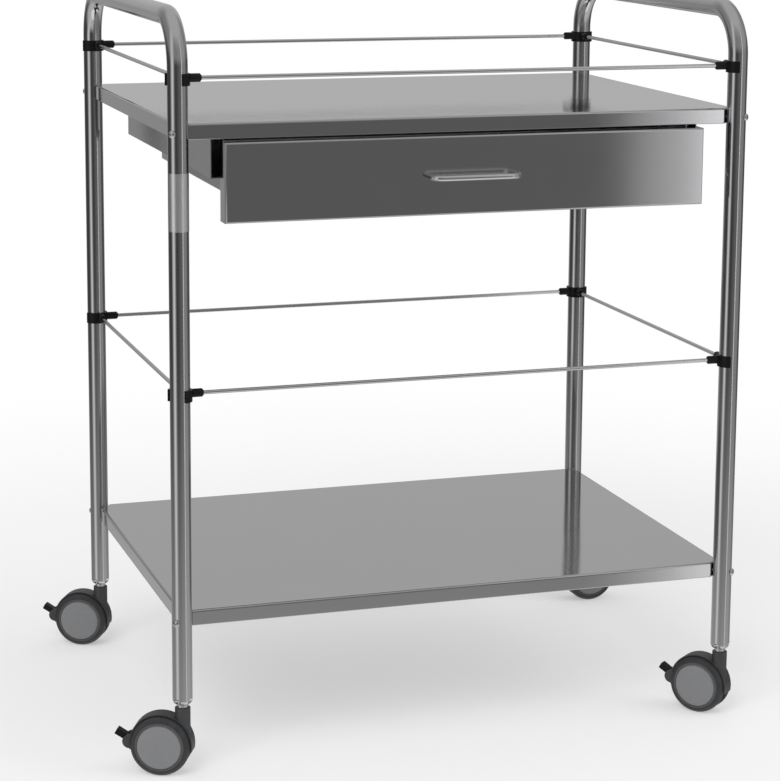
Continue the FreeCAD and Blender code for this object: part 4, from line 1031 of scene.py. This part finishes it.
# Degrees from straight behind the camera, to the viewer's right, and the wall's grey there.
WALL_GREYS = (
    (-180, 0.30), (-152, 0.36), (-140, 0.33), (-126, 0.07), (-76, 0.06), (-60, 0.55),
    (-50, 0.88), (-40, 0.55), (-27, 0.08), (-10, 0.06), (22, 0.15), (42.6, 0.16), (43.2, 0.42),
    (45.2, 0.66), (46.2, 1.25), (47.6, 1.25), (51, 0.32), (70, 0.28), (88, 0.30), (104, 0.16),
    (118, 0.06), (150, 0.14), (180, 0.30))


class INSTRUMENT_TABLE_OT_studio(TableStep, Operator):
    """Set up the floor, the walls that polished steel mirrors, the lamps and the camera"""

    bl_idname = "instrument_table.studio"
    bl_label = "Studio"

    def build(self, sizes, tints):
        self.world()
        self.floor(tints)
        self.walls()
        self.lamps()
        self.camera()
        bpy.context.scene.view_settings.view_transform = "Standard"

    def world(self):
        """White to the camera, mirrors and glass; a plain soft level for everything else."""
        world = bpy.data.worlds.new("studio")
        bpy.context.scene.world = world
        world.use_nodes = True
        graph = Graph(world.node_tree)
        path = graph.add("ShaderNodeLightPath")
        seen = graph.maths("MINIMUM", path.other("Is Camera Ray") + path.other("Is Glossy Ray")
                           + path.other("Is Transmission Ray"), 1.0)
        light = graph.add("ShaderNodeBackground",
                          {"Color": grey(1.0), "Strength": seen + (1.0 - seen) * AMBIENT})
        graph.add("ShaderNodeOutputWorld", {"Surface": light})

    def floor(self, tints):
        """Pale floor that fades into the white background far from the table."""
        mesh = bpy.data.meshes.new("floor")
        mesh.from_pydata([(x * FLOOR_HALF, y * FLOOR_HALF, 0) for x, y in
                          ((-1, -1), (1, -1), (1, 1), (-1, 1))], [], [(0, 1, 2, 3)])
        material, graph = bare_material("studio_floor")
        place = graph.coordinates()
        far = graph.add("ShaderNodeVectorMath", {0: place}, 1, operation="LENGTH")
        fade = graph.span(far, *FLOOR_FADE, kind="SMOOTHSTEP")
        pale = graph.blend(noise(graph, place, 40.0), shaded(tints.floor, 0.99),
                           shaded(tints.floor, 1.01))
        matt = graph.add("ShaderNodeBsdfDiffuse", {"Color": pale})
        white = graph.add("ShaderNodeEmission", {"Color": grey(1.0)})
        seen = graph.add("ShaderNodeLightPath").other("Is Camera Ray")
        mixed = graph.add("ShaderNodeMixShader", {
            0: seen * (FLOOR_WHITE + fade * FLOOR_FADED), 1: matt, 2: white})
        graph.add("ShaderNodeOutputMaterial", {"Surface": mixed})
        mesh.materials.append(material)
        floor = linked("floor", mesh)
        floor.visible_glossy = False

    def walls(self):
        """Round studio wall that only mirror-like surfaces see: soft boxes between dark gaps."""
        spots, faces = [], []
        for step in range(WALL_STEPS):
            angle = 2 * pi * step / WALL_STEPS
            x, y = WALL_RADIUS * cos(angle), WALL_RADIUS * sin(angle)
            spots += [(x, y, WALL_FOOT), (x, y, WALL_TOP)]
            after = (step + 1) % WALL_STEPS
            faces.append((2 * step, 2 * step + 1, 2 * after + 1, 2 * after))
        faces.append(tuple(range(1, 2 * WALL_STEPS, 2)))
        mesh = bpy.data.meshes.new("studio_wall")
        mesh.from_pydata(spots, [], faces)
        material, graph = bare_material("studio_wall")
        place = graph.coordinates()
        facing_camera = graph.add("ShaderNodeMapping", {
            "Vector": place, "Rotation": (0.0, 0.0, QUARTER + CAMERA_YAW)})
        around = graph.add("ShaderNodeTexGradient", {"Vector": facing_camera}, 1,
                           gradient_type="RADIAL")
        stripes = graph.ramp(around, [(0.5 + degrees / 360, level)
                                      for degrees, level in WALL_GREYS])
        height = graph.add("ShaderNodeSeparateXYZ", {0: place}).other(2)
        # The far side lightens from just above the table, the rest further up and in part.
        far_side = graph.span(graph.maths("ABSOLUTE", around - 0.5), 0.36, 0.44)
        low_rise = graph.span(height, 1.0, 2.0, 0.45)
        high_rise = graph.span(height, 3.5, 8.0, 0.55)
        above = graph.maths("MAXIMUM", low_rise + high_rise,
                            graph.span(height, 0.75, 1.2) * far_side)
        below = graph.span(height, -0.35, -2.4, 0.85)
        lifted = graph.blend(below, stripes, grey(BELOW_GREY))
        glow = graph.add("ShaderNodeEmission", {
            "Color": graph.blend(above, lifted, grey(ABOVE_GREY))})
        graph.add("ShaderNodeOutputMaterial", {"Surface": glow})
        mesh.materials.append(material)
        wall = linked("studio_wall", mesh)
        for kind in ("camera", "diffuse", "shadow", "transmission", "volume_scatter"):
            setattr(wall, "visible_" + kind, False)

    def lamps(self):
        for name, place, power in LAMPS:
            lamp = bpy.data.lights.new(name, "AREA")
            lamp.shape, lamp.size, lamp.energy = "SQUARE", LAMP_SIZE, power
            holder = linked(name, lamp)
            holder.location = place
            aim = AIM - Vector(place)
            holder.rotation_euler = aim.to_track_quat("-Z", "Y").to_euler()
            holder.visible_glossy = False

    def camera(self):
        level = cos(CAMERA_PITCH)
        forward = Vector((sin(CAMERA_YAW) * level, cos(CAMERA_YAW) * level, -sin(CAMERA_PITCH)))
        right = Vector((cos(CAMERA_YAW), -sin(CAMERA_YAW), 0.0))
        up = right.cross(forward)
        right, up = (right * cos(CAMERA_ROLL) + up * sin(CAMERA_ROLL),
                     up * cos(CAMERA_ROLL) - right * sin(CAMERA_ROLL))
        lens = bpy.data.cameras.new("camera")
        lens.sensor_width, lens.lens, lens.shift_y = 36.0, CAMERA_LENS, CAMERA_SHIFT
        lens.clip_start, lens.clip_end = 0.05, 200.0
        holder = linked("camera", lens)
        axes = Matrix((right, up, -forward)).transposed()
        holder.matrix_world = Matrix.Translation(CAMERA_PLACE) @ axes.to_4x4()
        bpy.context.scene.camera = holder


# Add-on ------------

STEP_CLASSES = (
    INSTRUMENT_TABLE_OT_finishes, INSTRUMENT_TABLE_OT_end_frames,
    INSTRUMENT_TABLE_OT_gallery_rods, INSTRUMENT_TABLE_OT_gallery_clips,
    INSTRUMENT_TABLE_OT_corner_screws, INSTRUMENT_TABLE_OT_shelves, INSTRUMENT_TABLE_OT_drawer,
    INSTRUMENT_TABLE_OT_castor_wheels, INSTRUMENT_TABLE_OT_castor_hoods,
    INSTRUMENT_TABLE_OT_fittings, INSTRUMENT_TABLE_OT_studio)
STEPS = [step.bl_idname.split(".")[1] for step in STEP_CLASSES]


class INSTRUMENT_TABLE_PT_panel(bpy.types.Panel):
    """Steps, sizes and colours of the instrument table"""

    bl_label = "Instrument Table"
    bl_idname = "INSTRUMENT_TABLE_PT_panel"
    bl_space_type = "VIEW_3D"
    bl_region_type = "UI"
    bl_category = "Instrument Table"

    def draw(self, context):
        for step in STEPS:
            self.layout.operator("instrument_table." + step)
        for group in (context.scene.instrument_table_sizes,
                      context.scene.instrument_table_colours):
            column = self.layout.column(align=True)
            for name in group.__annotations__:
                column.prop(group, name)


CLASSES = (InstrumentTableSizes, InstrumentTableColours, *STEP_CLASSES,
           INSTRUMENT_TABLE_PT_panel)


def register():
    for item in CLASSES:
        bpy.utils.register_class(item)
    bpy.types.Scene.instrument_table_sizes = PointerProperty(type=InstrumentTableSizes)
    bpy.types.Scene.instrument_table_colours = PointerProperty(type=InstrumentTableColours)


def unregister():
    del bpy.types.Scene.instrument_table_colours
    del bpy.types.Scene.instrument_table_sizes
    for item in reversed(CLASSES):
        bpy.utils.unregister_class(item)


def main():
    register()
    for step in STEPS:
        if getattr(bpy.ops.instrument_table, step)() != {"FINISHED"}:
            raise RuntimeError("step not finished: " + step)


if __name__ == "__main__":
    main()
